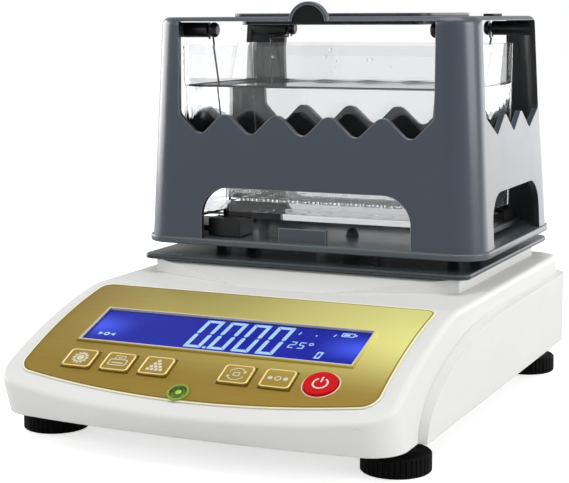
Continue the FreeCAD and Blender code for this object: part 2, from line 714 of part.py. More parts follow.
# The ramp widens from its foot to the plateau's corners and rises to the top.
ramp_plan = prism("ramp_plan", "XY",
                  [(-S.ramp_half_width, -S.ramp_front), (S.ramp_half_width, -S.ramp_front),
                   (S.plateau_half_width, -S.plateau_front), (S.plateau_half_width, S.plateau_corner),
                   (-S.plateau_half_width, S.plateau_corner), (-S.plateau_half_width, -S.plateau_front)],
                  S.plateau_top - S.deck_level + S.shell_wall, z=S.deck_level - S.shell_wall)
ramp_side = prism("ramp_side", "YZ",
                  [(-S.ramp_front, S.deck_level - S.shell_wall * 2),
                   (S.plateau_corner, S.deck_level - S.shell_wall * 2),
                   (S.plateau_corner, S.plateau_top), (-S.plateau_front, S.plateau_top),
                   (-S.ramp_front, S.deck_level)],
                  FAR, both=True)
ramp = common("ramp", ramp_plan, ramp_side)


def skirt(name, side):
    """A proud side skirt: quarter-ellipse front end, straight top edge."""
    inner = S.shell_half_width - S.corner_rear
    centre = S.skirt_round_end
    a = S.skirt_front + centre
    b = S.skirt_top - S.skirt_bottom
    shape = Part.Wire([
        Part.Ellipse(FreeCAD.Vector(0, 0, 0), a.value, b.value).toShape(math.pi / 2, math.pi),
        Part.makeLine(FreeCAD.Vector(-a.value, 0, 0), FreeCAD.Vector((S.skirt_rear - centre).value, 0, 0)),
        Part.makeLine(FreeCAD.Vector((S.skirt_rear - centre).value, 0, 0),
                      FreeCAD.Vector((S.skirt_rear - centre).value, b.value, 0)),
        Part.makeLine(FreeCAD.Vector((S.skirt_rear - centre).value, b.value, 0),
                      FreeCAD.Vector(0, b.value, 0)),
    ])
    thing = doc.addObject("Part::Feature", name)
    width = (skirt_half_width - inner).value
    solid = Part.Face(shape).extrude(FreeCAD.Vector(0, 0, width))
    thing.Shape = solid
    low = inner.value if side > 0 else -skirt_half_width.value
    thing.Placement = FreeCAD.Placement(FreeCAD.Vector(low, centre.value, S.skirt_bottom.value), PLANES["YZ"])
    return thing


skirt_corner = S.corner_rear + S.skirt_proud
skirt_points, skirt_arcs = rounded(skirt_half_width, -(S.skirt_front * 2), S.skirt_rear, skirt_corner)
skirt_trim = prism("skirt_trim", "XY", skirt_points, S.skirt_top * 2, skirt_arcs)
skirts = common("skirts", join("skirt_blocks", skirt("skirt_right", 1), skirt("skirt_left", -1)), skirt_trim)

# Hollow: the same block inset by the wall, under a deck lowered by the wall.
inner_block = shell_solid("shell_space_block", S.shell_wall, S.skirt_bottom - S.cover_lift, S.deck_level)
inner_space = cut("shell_space", inner_block, above_deck("above_space", S.shell_wall))
inner_points, inner_arcs = rounded(S.plateau_half_width - S.shell_wall, -S.plateau_front + S.shell_wall,
                                   S.plateau_rear - S.shell_wall, S.plateau_corner - S.shell_wall)
plateau_space = prism("plateau_space", "XY", inner_points, S.plateau_top - S.deck_level + S.shell_wall,
                      inner_arcs, z=S.deck_level - S.shell_wall * 2)

shell_body = join("shell_body", rim, plateau, ramp, skirts)
space = join("space", inner_space, plateau_space)
hollow = cut("shell_hollow", shell_body, space)

# Bosses that take the case screws, and posts that carry the keypad board.
cover_low = S.skirt_bottom + S.cover_lift
cover_high = cover_low + S.cover_thick
screw_across = S.shell_half_width - S.screw_inset
SCREWS = [("front_left", -1, -S.screw_front), ("front_right", 1, -S.screw_front),
          ("rear_left", -1, S.screw_rear), ("rear_right", 1, S.screw_rear)]
bosses = join("bosses", *[cylinder("boss_%s" % tag, S.boss_radius, S.deck_level - cover_high,
                                   side * screw_across, y, cover_high)
                          for tag, side, y in SCREWS])
bosses_in = common("bosses_in_shell", bosses, outer)

stem_end = S.key_proud - S.key_cap - S.key_stem              # below the deck, along its normal
board_face = stem_end - S.switch_gap - S.switch_height
board_posts = join("keypad_posts", *[
    deck_cylinder("keypad_post_%s" % tag, S.key_front, S.post_radius, board_face, -S.shell_wall / 2, x=x)
    for tag, x in (("left", -(S.keyboard_half_length - S.post_radius)), ("middle", ZERO),
                   ("right", S.keyboard_half_length - S.post_radius))])

KEYS = [("set", -3), ("print", -2), ("enter", -1), ("mode", 1), ("zero", 2)]
key_low = -(S.key_height / 2)
key_openings = [deck_box("opening_%s" % tag, S.key_front,
                         step * S.key_pitch - S.key_width / 2 - S.key_gap,
                         step * S.key_pitch + S.key_width / 2 + S.key_gap,
                         key_low - S.key_gap, -key_low + S.key_gap, -(S.shell_wall * 2), S.shell_wall * 2)
                for tag, step in KEYS]
key_openings.append(deck_cylinder("opening_power", S.key_front, S.power_radius + S.key_gap,
                                  -(S.shell_wall * 2), S.shell_wall * 2, x=3 * S.key_pitch))
bezel_x = S.lcd_half_length + S.bezel_border
bezel_up = S.lcd_half_height + S.bezel_border
lcd_opening = deck_box("opening_lcd", S.lcd_front, -(bezel_x + S.fit_gap), bezel_x + S.fit_gap,
                       -(bezel_up + S.fit_gap), bezel_up + S.fit_gap, -(S.shell_wall * 2), S.shell_wall * 2)
level_opening = deck_cylinder("opening_level", S.level_front, S.level_radius + S.fit_gap,
                              -(S.shell_wall * 2), S.shell_wall * 2, x=S.level_across)
post_hole = cylinder("opening_post", S.post_pan_radius + S.post_clear, S.shell_wall * 4,
                     ZERO, S.cell_middle, S.plateau_top - S.shell_wall * 2)
screw_holes = [cylinder("screw_hole_%s" % tag, S.screw_radius, S.screw_length, side * screw_across, y,
                        cover_high)
               for tag, side, y in SCREWS]
rear_openings = [
    box("opening_inlet", S.inlet_across - S.inlet_half - S.fit_gap, S.inlet_across + S.inlet_half + S.fit_gap,
        S.shell_rear - S.shell_wall * 2, S.shell_rear + S.shell_wall,
        S.inlet_level - S.inlet_half - S.fit_gap, S.inlet_level + S.inlet_half + S.fit_gap),
    box("opening_serial", S.serial_across - S.serial_half_width - S.fit_gap,
        S.serial_across + S.serial_half_width + S.fit_gap,
        S.shell_rear - S.shell_wall * 2, S.shell_rear + S.shell_wall,
        S.inlet_level - S.serial_half_height - S.fit_gap, S.inlet_level + S.serial_half_height + S.fit_gap)]

shell_full = join("shell_full", hollow, bosses_in, board_posts)
part("housing_top", cut("housing_top", shell_full, lcd_opening, level_opening, post_hole,
                        *(key_openings + screw_holes + rear_openings)))

# --- bottom cover ----------------------------------------------------------

inset = S.shell_wall + S.cover_gap
cover_sketch = shell_plan("cover_plan", S.shell_half_width - inset, S.nose_low, S.bow_low,
                          S.corner_front - inset, S.corner_rear - inset, S.shell_rear - inset, cover_low)
cover_plate = doc.addObject("Part::Extrusion", "cover_plate")
cover_plate.Base = cover_sketch
cover_plate.DirMode = "Custom"
cover_plate.Dir = FreeCAD.Vector(0, 0, 1)
cover_plate.Solid = True
cover_plate.LengthFwd = bind(cover_plate, "LengthFwd", S.cover_thick)

foot_across = S.shell_half_width - S.foot_inset
FEET = [("front_left", -1, -1), ("front_right", 1, -1), ("rear_left", -1, 1), ("rear_right", 1, 1)]
foot_bosses = [cylinder("foot_boss_%s" % tag, S.foot_boss_radius, S.cover_thick + S.foot_boss_height,
                        sx * foot_across, sy * S.foot_along, cover_low) for tag, sx, sy in FEET]
foot_bores = [cylinder("foot_bore_%s" % tag, S.stud_radius + S.stud_gap, S.stud_top,
                       sx * foot_across, sy * S.foot_along, cover_low - S.cover_thick)
              for tag, sx, sy in FEET]
main_posts = [cylinder("main_post_%d" % i, S.post_radius, S.main_lift + S.cover_thick,
                       sx * (S.main_half_width - S.post_radius), y, cover_low)
              for i, (sx, y) in enumerate(((-1, -(S.main_front - S.post_radius)),
                                           (1, -(S.main_front - S.post_radius)),
                                           (-1, -(S.main_rear + S.post_radius)),
                                           (1, -(S.main_rear + S.post_radius))))]
cover_screw_holes = [cylinder("cover_screw_hole_%s" % tag, S.screw_radius + S.fit_gap, S.cover_thick * 3,
                              side * screw_across, y, cover_low - S.cover_thick) for tag, side, y in SCREWS]
part("housing_bottom", cut("housing_bottom", join("cover_solid", cover_plate, *(foot_bosses + main_posts)),
                           *(foot_bores + cover_screw_holes)))

for tag, side, y in SCREWS:
    head = cylinder("head_%s" % tag, S.screw_head_radius, S.screw_head, side * screw_across, y,
                    cover_low - S.screw_head)
    shank = cylinder("shank_%s" % tag, S.screw_radius, S.screw_length + S.cover_thick, side * screw_across,
                     y, cover_low)
    slot = box("slot_%s" % tag, side * screw_across - S.screw_head_radius,
               side * screw_across + S.screw_head_radius,
               y - S.screw_slot / 2, y + S.screw_slot / 2,
               cover_low - S.screw_head, cover_low - S.screw_head / 2)
    part("case_screw_%s" % tag, cut("case_screw_%s" % tag, join("screw_%s" % tag, head, shank), slot))

# --- feet ------------------------------------------------------------------

for tag, sx, sy in FEET:
    x, y = sx * foot_across, sy * S.foot_along
    body = doc.addObject("PartDesign::Body", "knob_%s" % tag)
    profile = body.newObject("Sketcher::SketchObject", "knob_profile_%s" % tag)
    plane = [f for f in body.Origin.OriginFeatures if f.Role == "XZ_Plane"][0]
    profile.AttachmentSupport = [(plane, "")]
    profile.MapMode = "FlatFace"
    draw(profile, [(S.stud_radius, ZERO), (S.knob_radius - S.knob_chamfer, ZERO),
                   (S.knob_radius, S.knob_chamfer),
                   (S.knob_radius, S.knob_height - S.knob_chamfer),
                   (S.knob_radius - S.knob_chamfer, S.knob_height),
                   (S.hub_radius, S.knob_height), (S.hub_radius, S.knob_height + S.hub_height),
                   (S.stud_radius, S.knob_height + S.hub_height)])
    turn = body.newObject("PartDesign::Revolution", "knob_turn_%s" % tag)
    turn.Profile = profile
    turn.ReferenceAxis = (profile, ["V_Axis"])
    turn.Angle = 360
    doc.recompute()
    rib = body.newObject("Sketcher::SketchObject", "knob_rib_%s" % tag)
    plane = [f for f in body.Origin.OriginFeatures if f.Role == "XY_Plane"][0]
    rib.AttachmentSupport = [(plane, "")]
    rib.MapMode = "FlatFace"
    outside = S.knob_radius + S.knob_rib_depth
    draw(rib, [(S.knob_radius - S.knob_rib_depth, ZERO), (outside, -S.knob_rib_width),
               (outside, S.knob_rib_width)])
    groove = body.newObject("PartDesign::Pocket", "knob_groove_%s" % tag)
    groove.Profile = rib
    groove.Length = bind(groove, "Length", S.knob_height * 2)
    groove.Reversed = True
    doc.recompute()
    pattern = body.newObject("PartDesign::PolarPattern", "knob_ribs_%s" % tag)
    pattern.Originals = [groove]
    pattern.Axis = (rib, ["N_Axis"])
    pattern.Angle = 360
    pattern.Occurrences = max(int(round(S.knob_ribs.value)), 3)
    body.Tip = pattern
    move(body, x, y, ZERO)
    part("foot_knob_%s" % tag, body)
    part("foot_stud_%s" % tag,
         cylinder("stud_%s" % tag, S.stud_radius, S.stud_top - S.stud_sink, x, y, S.stud_sink))

# --- gold panel, display ---------------------------------------------------

panel_half_width = deck_half_width - S.panel_margin
panel_top = S.crown_start + S.panel_set_in
panel_cx = panel_half_width - S.panel_corner_low
panel_fx = panel_cx + S.panel_corner_low * sine(S.panel_bow)
panel_fy = -(S.panel_side_end + S.panel_corner_low * cosine(S.panel_bow))
ch = S.panel_corner_high
panel_plan = prism("panel_plan", "XY",
                   [(-panel_fx, panel_fy), (panel_fx, panel_fy), (panel_half_width, -S.panel_side_end),
                    (panel_half_width, -(panel_top + ch)), (panel_half_width - ch, -panel_top),
                    (-(panel_half_width - ch), -panel_top), (-panel_half_width, -(panel_top + ch)),
                    (-panel_half_width, -S.panel_side_end)],
                   S.deck_level * 2,
                   {0: (panel_fx / sine(S.panel_bow), 1), 1: (S.panel_corner_low, 1), 3: (ch, 1), 5: (ch, 1),
                    7: (S.panel_corner_low, 1)})
film_reach = S.panel_side_end + S.panel_corner_low * 4
film_side = prism("film_side", "YZ",
                  [(-film_reach, deck_height(film_reach)), (-panel_top, deck_height(panel_top)),
                   (-panel_top, deck_height(panel_top) + S.panel_thick),
                   (-film_reach, deck_height(film_reach) + S.panel_thick)],
                  FAR, {0: (S.crown_radius, -1), 2: (S.crown_radius, 1)}, both=True)
panel_sheet = common("panel_sheet", panel_plan, film_side)
part("panel_overlay", cut("panel_overlay", panel_sheet, lcd_opening, level_opening, *key_openings))

module_below = S.shell_wall + S.module_gap
bezel_block = deck_box("bezel_block", S.lcd_front, -bezel_x, bezel_x, -bezel_up, bezel_up, -module_below,
                       S.bezel_proud)
bezel_hole = deck_box("bezel_hole", S.lcd_front, -(S.lcd_half_length + S.fit_gap),
                      S.lcd_half_length + S.fit_gap,
                      -(S.lcd_half_height + S.fit_gap), S.lcd_half_height + S.fit_gap,
                      -(module_below * 2), S.bezel_proud * 2)
part("lcd_bezel", cut("lcd_bezel", bezel_block, bezel_hole))
window_face = S.bezel_proud - S.window_sink
part("lcd_window", deck_box("lcd_window", S.lcd_front, -S.lcd_half_length, S.lcd_half_length,
                            -S.lcd_half_height, S.lcd_half_height, window_face - S.window_thick, window_face))
module_x, module_up = bezel_x + S.module_overlap, bezel_up + S.module_overlap
module_case = deck_box("module_case", S.lcd_front, -module_x, module_x, -module_up, module_up,
                       -(module_below + S.module_depth), -module_below)
module_face = deck_box("module_face", S.lcd_front, -S.lcd_half_length, S.lcd_half_length,
                       -S.lcd_half_height, S.lcd_half_height,
                       -(module_below + S.module_depth / 2), window_face - S.window_thick)
part("lcd_module", join("lcd_module", module_case, module_face))

# --- keys, switches, keypad board ------------------------------------------

cap_out = S.key_proud - S.key_cap
for tag, step in KEYS + [("power", 3)]:
    x = step * S.key_pitch
    if tag == "power":
        cap = deck_cylinder("cap_power", S.key_front, S.power_radius, cap_out, S.key_proud, x=x)
    else:
        blank = deck_box("cap_%s_blank" % tag, S.key_front, x - S.key_width / 2, x + S.key_width / 2,
                         key_low, -key_low, cap_out, S.key_proud)
        doc.recompute()
        cap = doc.addObject("Part::Fillet", "cap_%s" % tag)
        cap.Base = blank
        normal = blank.Placement.Rotation.multVec(FreeCAD.Vector(0, 0, 1))
        cap.Edges = [(n, S.key_corner.value, S.key_corner.value)
                     for n, edge in enumerate(blank.Shape.Edges, start=1) if runs_along(edge, normal)]
    stem = deck_cylinder("stem_%s" % tag, S.key_front, S.key_stem_radius, stem_end, cap_out, x=x)
    part("key_%s" % tag, join("key_%s" % tag, cap, stem))
    half = S.switch_size / 2
    part("switch_%s" % tag, deck_box("switch_%s" % tag, S.key_front, x - half, x + half, -half, half,
                                     board_face, board_face + S.switch_height))
part("keypad_board", deck_box("keypad_board", S.key_front, -S.keyboard_half_length, S.keyboard_half_length,
                              -S.keyboard_half_height, S.keyboard_half_height,
                              board_face - S.board_thick, board_face))

# --- bubble level ----------------------------------------------------------

cup = deck_cylinder("level_cup_block", S.level_front, S.level_radius, S.level_proud - S.level_depth,
                    S.level_proud, x=S.level_across)
cup_bore = deck_cylinder("level_cup_bore", S.level_front, S.level_radius - S.level_wall,
                         S.level_proud - S.lens_height, S.level_proud * 2, x=S.level_across)
part("level_cup", cut("level_cup", cup, cup_bore))
part("level_lens", deck_cylinder("level_lens", S.level_front, S.level_radius - S.level_wall,
                                 S.level_proud - S.lens_height, S.level_proud - S.lens_sink,
                                 x=S.level_across))

# --- weighing cell ---------------------------------------------------------

y_mid = S.cell_middle
cell_low = cover_high + S.cell_spacer
cell_high = cell_low + S.cell_height
part("cell_spacer", box("cell_spacer", -S.cell_half_length, -(S.cell_half_length - S.cell_end),
                        y_mid - S.cell_half_width, y_mid + S.cell_half_width, cover_high, cell_low))
bar = box("cell_bar", -S.cell_half_length, S.cell_half_length, y_mid - S.cell_half_width,
          y_mid + S.cell_half_width, cell_low, cell_high)
flexures = []
for tag, side in (("left", -1), ("right", 1)):
    hole = cylinder("flexure_%s" % tag, S.cell_slot_radius, S.cell_half_width * 4, side * S.cell_slot_offset,
                    y_mid + S.cell_half_width * 2, cell_low + S.cell_height / 2)
    hole.Placement = FreeCAD.Placement(hole.Placement.Base, PLANES["XZ"])
    flexures.append(hole)
flexures.append(box("flexure_slot", -S.cell_slot_offset, S.cell_slot_offset, y_mid - S.cell_half_width * 2,
                    y_mid + S.cell_half_width * 2,
                    cell_low + S.cell_height / 2 - S.cell_slot_half,
                    cell_low + S.cell_height / 2 + S.cell_slot_half))
part("load_cell", cut("load_cell", bar, *flexures))

step_low = cell_high + S.bracket_gap
bracket_low = step_low + S.bracket_step
bracket_high = bracket_low + S.bracket_thick
foot = box("bracket_foot", S.cell_half_length - S.cell_end, S.cell_half_length,
           y_mid - S.cell_half_width, y_mid + S.cell_half_width, step_low, bracket_low)
plate = box("bracket_plate", -S.bracket_reach, S.cell_half_length,
            y_mid - S.cell_half_width, y_mid + S.cell_half_width, bracket_low, bracket_high)
part("pan_bracket", join("pan_bracket", foot, plate))

lower_top = S.plateau_top + S.lower_thick
upper_low = lower_top + S.tray_space
upper_top = upper_low + S.upper_thick
flange_low = upper_low - S.flange_thick
part("pan_post", join("pan_post",
                      cylinder("post_shaft", S.post_pan_radius, flange_low - bracket_high, ZERO, y_mid,
                               bracket_high),
                      cylinder("post_flange", S.flange_radius, S.flange_thick, ZERO, y_mid, flange_low)))

# --- trays -----------------------------------------------------------------

lower = body_plate("lower_tray", S.lower_half_width, -S.lower_front, S.lower_rear, S.lower_corner,
                   S.plateau_top, S.lower_thick, S.tray_round)
body_pocket(lower, "lower_post_hole", S.lower_thick * 2,
            circles=[(ZERO, y_mid, S.post_pan_radius + S.post_clear)])
part("lower_tray", lower)

upper = body_plate("upper_tray", S.upper_half_width, -S.upper_front, S.upper_rear, S.upper_corner,
                   upper_low, S.upper_thick, S.tray_round)
LEGS = [("front_left", -1, 0), ("front_right", 1, 0), ("rear_left", -1, 1), ("rear_right", 1, 1)]


def leg_span(sx, back):
    """Plan limits of one stand leg: x0, x1, y0, y1."""
    outer_x = S.stand_half_width - S.leg_side_inset
    x0, x1 = (outer_x - S.leg_size, outer_x) if sx > 0 else (-outer_x, -(outer_x - S.leg_size))
    if back:
        return x0, x1, S.stand_rear - S.leg_end_inset - S.leg_size, S.stand_rear - S.leg_end_inset
    return x0, x1, S.stand_front + S.leg_end_inset, S.stand_front + S.leg_end_inset + S.leg_size


holes = []
for tag, sx, back in LEGS:
    x0, x1, y0, y1 = leg_span(sx, back)
    c = S.leg_clear
    holes.append(([(x0 - c, y0 - c), (x1 + c, y0 - c), (x1 + c, y1 + c), (x0 - c, y1 + c)], {}))
body_pocket(upper, "upper_leg_holes", S.upper_thick * 2, outlines=holes)
part("upper_tray", upper)

part("tray_tab", box("tray_tab", S.tab_shift - S.tab_half_width, S.tab_shift + S.tab_half_width,
                     -S.upper_front + S.tab_set_back, -S.upper_front + S.tab_set_back + S.tab_thick,
                     upper_top, upper_top + S.tab_height))

dome_ball = doc.addObject("Part::Ellipsoid", "dome_ball")
for path, size in (("Radius1", S.dome_height), ("Radius2", S.dome_radius), ("Radius3", S.dome_radius)):
    setattr(dome_ball, path, bind(dome_ball, path, size))
dome_ball.Angle1, dome_ball.Angle2 = 0, 90
move(dome_ball, S.dome_across, S.dome_along, upper_top)
part("tray_stud", dome_ball)

# --- tank stand and tank ---------------------------------------------------

rail_low = upper_top + S.stand_lift
rail_high = rail_low + S.stand_plate
tank_low = rail_high + S.block_height
w = S.stand_half_width
rail_in = w - S.stand_rail
block_out = w - S.block_inset
tie_front = S.block_front + S.block_depth / 4
block_far = S.block_left + S.block_length


def corner_block(name, x0, x1, y):
    """A block on a rail that carries a corner of the tank."""
    return box(name, x0, x1, y, y + S.block_depth, rail_high, tank_low)


stand_pieces = [
    box("stand_left", -w, -rail_in, S.stand_front, S.stand_rear, rail_low, rail_high),
    box("stand_right", rail_in, w, S.stand_front, S.stand_rear, rail_low, rail_high),
    box("stand_cross_rail", -w, w, S.stand_rear - S.stand_cross, S.stand_rear, rail_low, rail_high),
    box("block_front_left", -block_far, -S.block_left, S.block_front, S.block_front + S.block_depth,
        upper_top + S.bracket_gap, tank_low),
    box("block_tie", -rail_in - S.stand_rail / 2, -S.block_left, tie_front, tie_front + S.block_depth / 2,
        rail_low, rail_high),
    corner_block("block_front_right", rail_in, block_out, S.stand_front),
    corner_block("block_rear_left", -block_out, -rail_in, S.stand_rear - S.block_depth),
    corner_block("block_rear_right", rail_in, block_out, S.stand_rear - S.block_depth),
]
for tag, sx, back in LEGS:
    x0, x1, y0, y1 = leg_span(sx, back)
    stand_pieces.append(box("leg_%s" % tag, x0, x1, y0, y1, lower_top, rail_high))
part("tank_stand", join("tank_stand", *stand_pieces))


def tank_block(name, inset, low, high, floor, top):
    """The tank's tapering block, inset by its wall, between two heights."""
    inset = Size.of(inset)
    plans = []
    for tag, z, lean in (("low", low, floor), ("high", high, top)):
        hx, hy, rr = S.tank_half_width + lean - inset, S.tank_half_depth + lean - inset, S.tank_corner - inset
        points, arcs = rounded(hx, S.tank_middle - hy, S.tank_middle + hy, rr)
        plans.append(sketch_on("%s_%s" % (name, tag), "XY", points, arcs, z=z))
    return ruled_loft(name, plans[0], plans[1])


tank_high = tank_low + S.tank_height
part("tank", cut("tank", tank_block("tank_outside", ZERO, tank_low, tank_high, ZERO, S.tank_draft),
                 tank_block("tank_inside", S.tank_wall, tank_low + S.tank_floor, tank_high + S.tank_floor,
                            ZERO, S.tank_draft)))

# --- frame (cage) ----------------------------------------------------------

cage_low = upper_top
cage_high = cage_low + S.cage_height
middle = (S.cage_rear - S.cage_front) / 2


def cage_plan(name, z, lean, inset):
    """Plan of the frame's walls at a height; lean 0 at the foot, 1 at the top."""
    points, arcs = rounded(S.cage_half_width - S.cage_draft_side * lean - inset,
                           -S.cage_front + S.cage_draft_front * lean + inset,
                           S.cage_rear - S.cage_draft_rear * lean - inset,
                           S.cage_corner - inset)
    return sketch_on(name, "XY", points, arcs, z=z)


cage_outer = ruled_loft("cage_outer", cage_plan("cage_outer_low", cage_low, 0, ZERO),
                        cage_plan("cage_outer_high", cage_high, 1, ZERO))
doc.recompute()
cage_rounded = doc.addObject("Part::Fillet", "cage_rounded")
cage_rounded.Base = cage_outer
cage_rounded.Edges = [(n, S.cage_round.value, S.cage_round.value)
                      for n, edge in enumerate(cage_outer.Shape.Edges, start=1)
                      if min(v.Z for v in edge.Vertexes) > cage_high.value - FLAT]
lean_in = (S.cage_height - S.cage_top) / S.cage_height
cage_inner = ruled_loft("cage_inner", cage_plan("cage_inner_low", cage_low, 0, S.cage_wall),
                        cage_plan("cage_inner_high", cage_high - S.cage_top, lean_in, S.cage_wall))


def window_outline(half, centre, valleys, pitch, shift, low, high):
    """Upper window: straight sides and top, a sill of teeth to be rounded.
    The middle of the teeth lies at shift."""
    end, top = cage_low + S.tooth_end, cage_high - S.cage_top
    points = [(centre + half, top), (centre - half, top), (centre - half, end)]
    for i in range(valleys):
        offset = pitch * (i - (valleys - 1) / 2)
        points.append((shift + offset, cage_low + low))
        if i < valleys - 1:
            points.append((shift + offset + pitch / 2, cage_low + high))
    points.append((centre + half, end))
    return points


def arch_outline(half, centre):
    """Lower opening: open at the foot, round upper corners."""
    r = S.arch_round
    low, top = cage_low - S.cage_wall, cage_low + S.arch_height
    points = [(centre - half, low), (centre + half, low), (centre + half, top - r), (centre + half - r, top),
              (centre - half + r, top), (centre - half, top - r)]
    return points, {2: (r, 1), 4: (r, 1)}


def round_teeth(name, blank, axis, high, radius):
    """Rounds the tooth edges that run along the axis through a window block."""
    doc.recompute()
    thing = doc.addObject("Part::Fillet", name)
    thing.Base = blank
    above_teeth = (cage_low + high + radius).value
    thing.Edges = [(n, radius.value, radius.value) for n, edge in enumerate(blank.Shape.Edges, start=1)
                   if runs_along(edge, axis) and edge.valueAt(edge.FirstParameter).z < above_teeth]
    return thing


deep = S.cage_rear * 2
END_VALLEYS = 5       # valleys between the teeth of an end wall
SIDE_VALLEYS = 3      # and of a side wall


def end_window(name, half, centre, pitch, shift, y):
    """The window of an end wall, whose block runs from y to well outside."""
    outline = window_outline(half, centre, END_VALLEYS, pitch, shift, S.tooth_low, S.tooth_high)
    block = prism(name + "_block", "XZ", outline, deep, y=y)
    return round_teeth(name, block, FreeCAD.Vector(0, 1, 0), S.tooth_high, S.tooth_round)


front_window = end_window("front_window", S.window_half, S.window_shift, S.tooth_pitch, S.window_shift,
                          middle)
rear_window = end_window("rear_window", S.window_rear_half, ZERO, S.tooth_rear_pitch, S.tooth_rear_shift,
                         middle + deep)
side_outline = window_outline(S.window_side_half, middle, SIDE_VALLEYS, S.tooth_pitch, middle,
                              S.tooth_side_low, S.tooth_side_high)
side_window = round_teeth("side_window", prism("side_window_block", "YZ", side_outline, deep, both=True),
                          FreeCAD.Vector(1, 0, 0), S.tooth_side_high, S.tooth_side_round)
arch_points, arch_arcs = arch_outline(S.arch_half, ZERO)
front_arch = prism("front_arch", "XZ", arch_points, deep, arch_arcs, both=True, y=middle)
side_points, side_arcs = arch_outline(S.arch_side_half, middle)
side_arch = prism("side_arch", "YZ", side_points, deep, side_arcs, both=True)

dish_y0, dish_y1 = middle - S.dish_half_depth, middle + S.dish_half_depth
g = S.dish_gap
dish_opening_points, dish_opening_arcs = rounded(S.dish_half_width + g, dish_y0 - g, dish_y1 + g,
                                                 S.dish_corner + g)
dish_opening = prism("dish_opening", "XY", dish_opening_points, S.cage_top * 3, dish_opening_arcs,
                     z=cage_high - S.cage_top * 2)

lug_y = -S.cage_front + S.cage_draft_front + S.lug_thick     # rear face of the lug
lug_z = cage_high + S.lug_rise - S.lug_radius


def disc(name, radius, thick, x, y, z):
    """A cylinder whose rear face is at y and whose axis runs along -Y."""
    thing = cylinder(name, radius, thick, x, y, z)
    thing.Placement = FreeCAD.Placement(thing.Placement.Base, PLANES["XZ"])
    return thing


def over_rail(name, thing):
    """Keeps what lies above the lower edge of the frame's top rail."""
    keep = box(name + "_keep", S.lug_shift - S.lug_radius * 2, S.lug_shift + S.lug_radius * 2,
               lug_y - S.lug_thick * 2, lug_y + S.lug_thick,
               cage_high - S.cage_top, cage_high + S.lug_radius * 2)
    return common(name, thing, keep)


lug = over_rail("lug", disc("lug_disc", S.lug_radius, S.lug_thick, S.lug_shift, lug_y, lug_z))
well_y = lug_y - S.lug_thick + S.lug_recess
well_radius = S.lug_radius - S.lug_rim
lug_well = over_rail("lug_well", disc("lug_well_disc", well_radius, S.lug_recess, S.lug_shift, well_y, lug_z))
cage_walls = cut("cage_walls", cage_rounded, cage_inner, front_window, rear_window, side_window,
                 front_arch, side_arch, dish_opening)

# each hook arm is a dark rod that stands out of a sleeve on the frame's wall
arm_z = cage_high - S.cage_top - S.arm_drop - S.arm_radius
ARMS = [("front_left", -1, -1), ("front_right", 1, -1), ("rear_left", -1, 1), ("rear_right", 1, 1)]


def rod_x(name, radius, x0, x1, y, z):
    """A round rod along X."""
    thing = cylinder(name, radius, Size.of(x1) - x0, x0, y, z)
    thing.Placement = FreeCAD.Placement(thing.Placement.Base, FreeCAD.Rotation(FreeCAD.Vector(0, 1, 0), 90))
    return thing


def arm_sleeve(tag, sx, sy):
    """The sleeve of one arm, which the frame's outer face trims."""
    x0, x1 = (S.sleeve_reach, S.cage_half_width) if sx > 0 else (-S.cage_half_width, -S.sleeve_reach)
    return rod_x("sleeve_%s" % tag, S.arm_radius, x0, x1, middle + sy * S.arm_along, arm_z)


sleeves = common("arm_sleeves", join("arm_sleeve_rods", *[arm_sleeve(*arm) for arm in ARMS]), cage_rounded)
part("cage", cut("cage", join("cage_solid", cage_walls, sleeves, lug), lug_well))
part("lug_insert", over_rail("lug_insert", disc("insert_disc", well_radius, S.insert_thick, S.lug_shift,
                                                well_y, lug_z)))

flat_edge = S.cage_half_width - S.cage_draft_side - S.cage_round
part("rail_pad", box("rail_pad", flat_edge - S.pad_width, flat_edge, middle - S.pad_shift - S.pad_half,
                     middle - S.pad_shift + S.pad_half, cage_high, cage_high + S.pad_height))

# --- dish ------------------------------------------------------------------

f = S.dish_flange
dish = body_plate("dish", S.dish_half_width + f, dish_y0 - f, dish_y1 + f, S.dish_corner + f, cage_high,
                  S.dish_thick)
well_out, well_out_arcs = rounded(S.dish_half_width, dish_y0, dish_y1, S.dish_corner)
well_in, well_in_arcs = rounded(S.dish_half_width - S.dish_thick, dish_y0 + S.dish_thick,
                                dish_y1 - S.dish_thick, S.dish_corner - S.dish_thick)
well_solid = prism("dish_well", "XY", well_out, S.dish_depth, well_out_arcs, z=cage_high - S.dish_depth)
well_space = prism("dish_space", "XY", well_in, S.dish_depth * 2, well_in_arcs,
                   z=cage_high - S.dish_depth + S.dish_thick)
part("dish_plate", cut("dish_plate", join("dish_solid", dish, well_solid), well_space))

# --- hook arms, basket and wires -------------------------------------------

basket_low = tank_low + S.tank_floor + S.basket_above_floor
tank_mid = S.tank_middle
wire_out = S.groove_radius + S.wire_rest + S.wire_radius      # a wire's axis from an arm's axis
wire_z = arm_z + wire_out
leg_z = wire_z - S.wire_drop


def hook_arm(tag, tip, groove, sx, y):
    """A rod from its sleeve to its round tip, with a groove turned in it."""
    x0, x1 = (tip, S.sleeve_reach) if sx > 0 else (-S.sleeve_reach, tip)
    rod = rod_x("arm_rod_%s" % tag, S.arm_radius, x0, x1, y, arm_z)
    doc.recompute()
    rounded_rod = doc.addObject("Part::Fillet", "arm_rounded_%s" % tag)
    rounded_rod.Base = rod
    tip_round = S.arm_radius.value / 2
    rounded_rod.Edges = [(n, tip_round, tip_round) for n, edge in enumerate(rod.Shape.Edges, start=1)
                         if edge.Closed and abs(edge.Vertexes[0].X - tip.value) < FLAT]
    half = S.groove_width / 2
    ring = cut("groove_ring_%s" % tag,
               rod_x("groove_out_%s" % tag, S.arm_radius * 2, groove - half, groove + half, y, arm_z),
               rod_x("groove_in_%s" % tag, S.groove_radius, groove - half * 2, groove + half * 2, y, arm_z))
    return cut("hook_arm_%s" % tag, rounded_rod, ring)


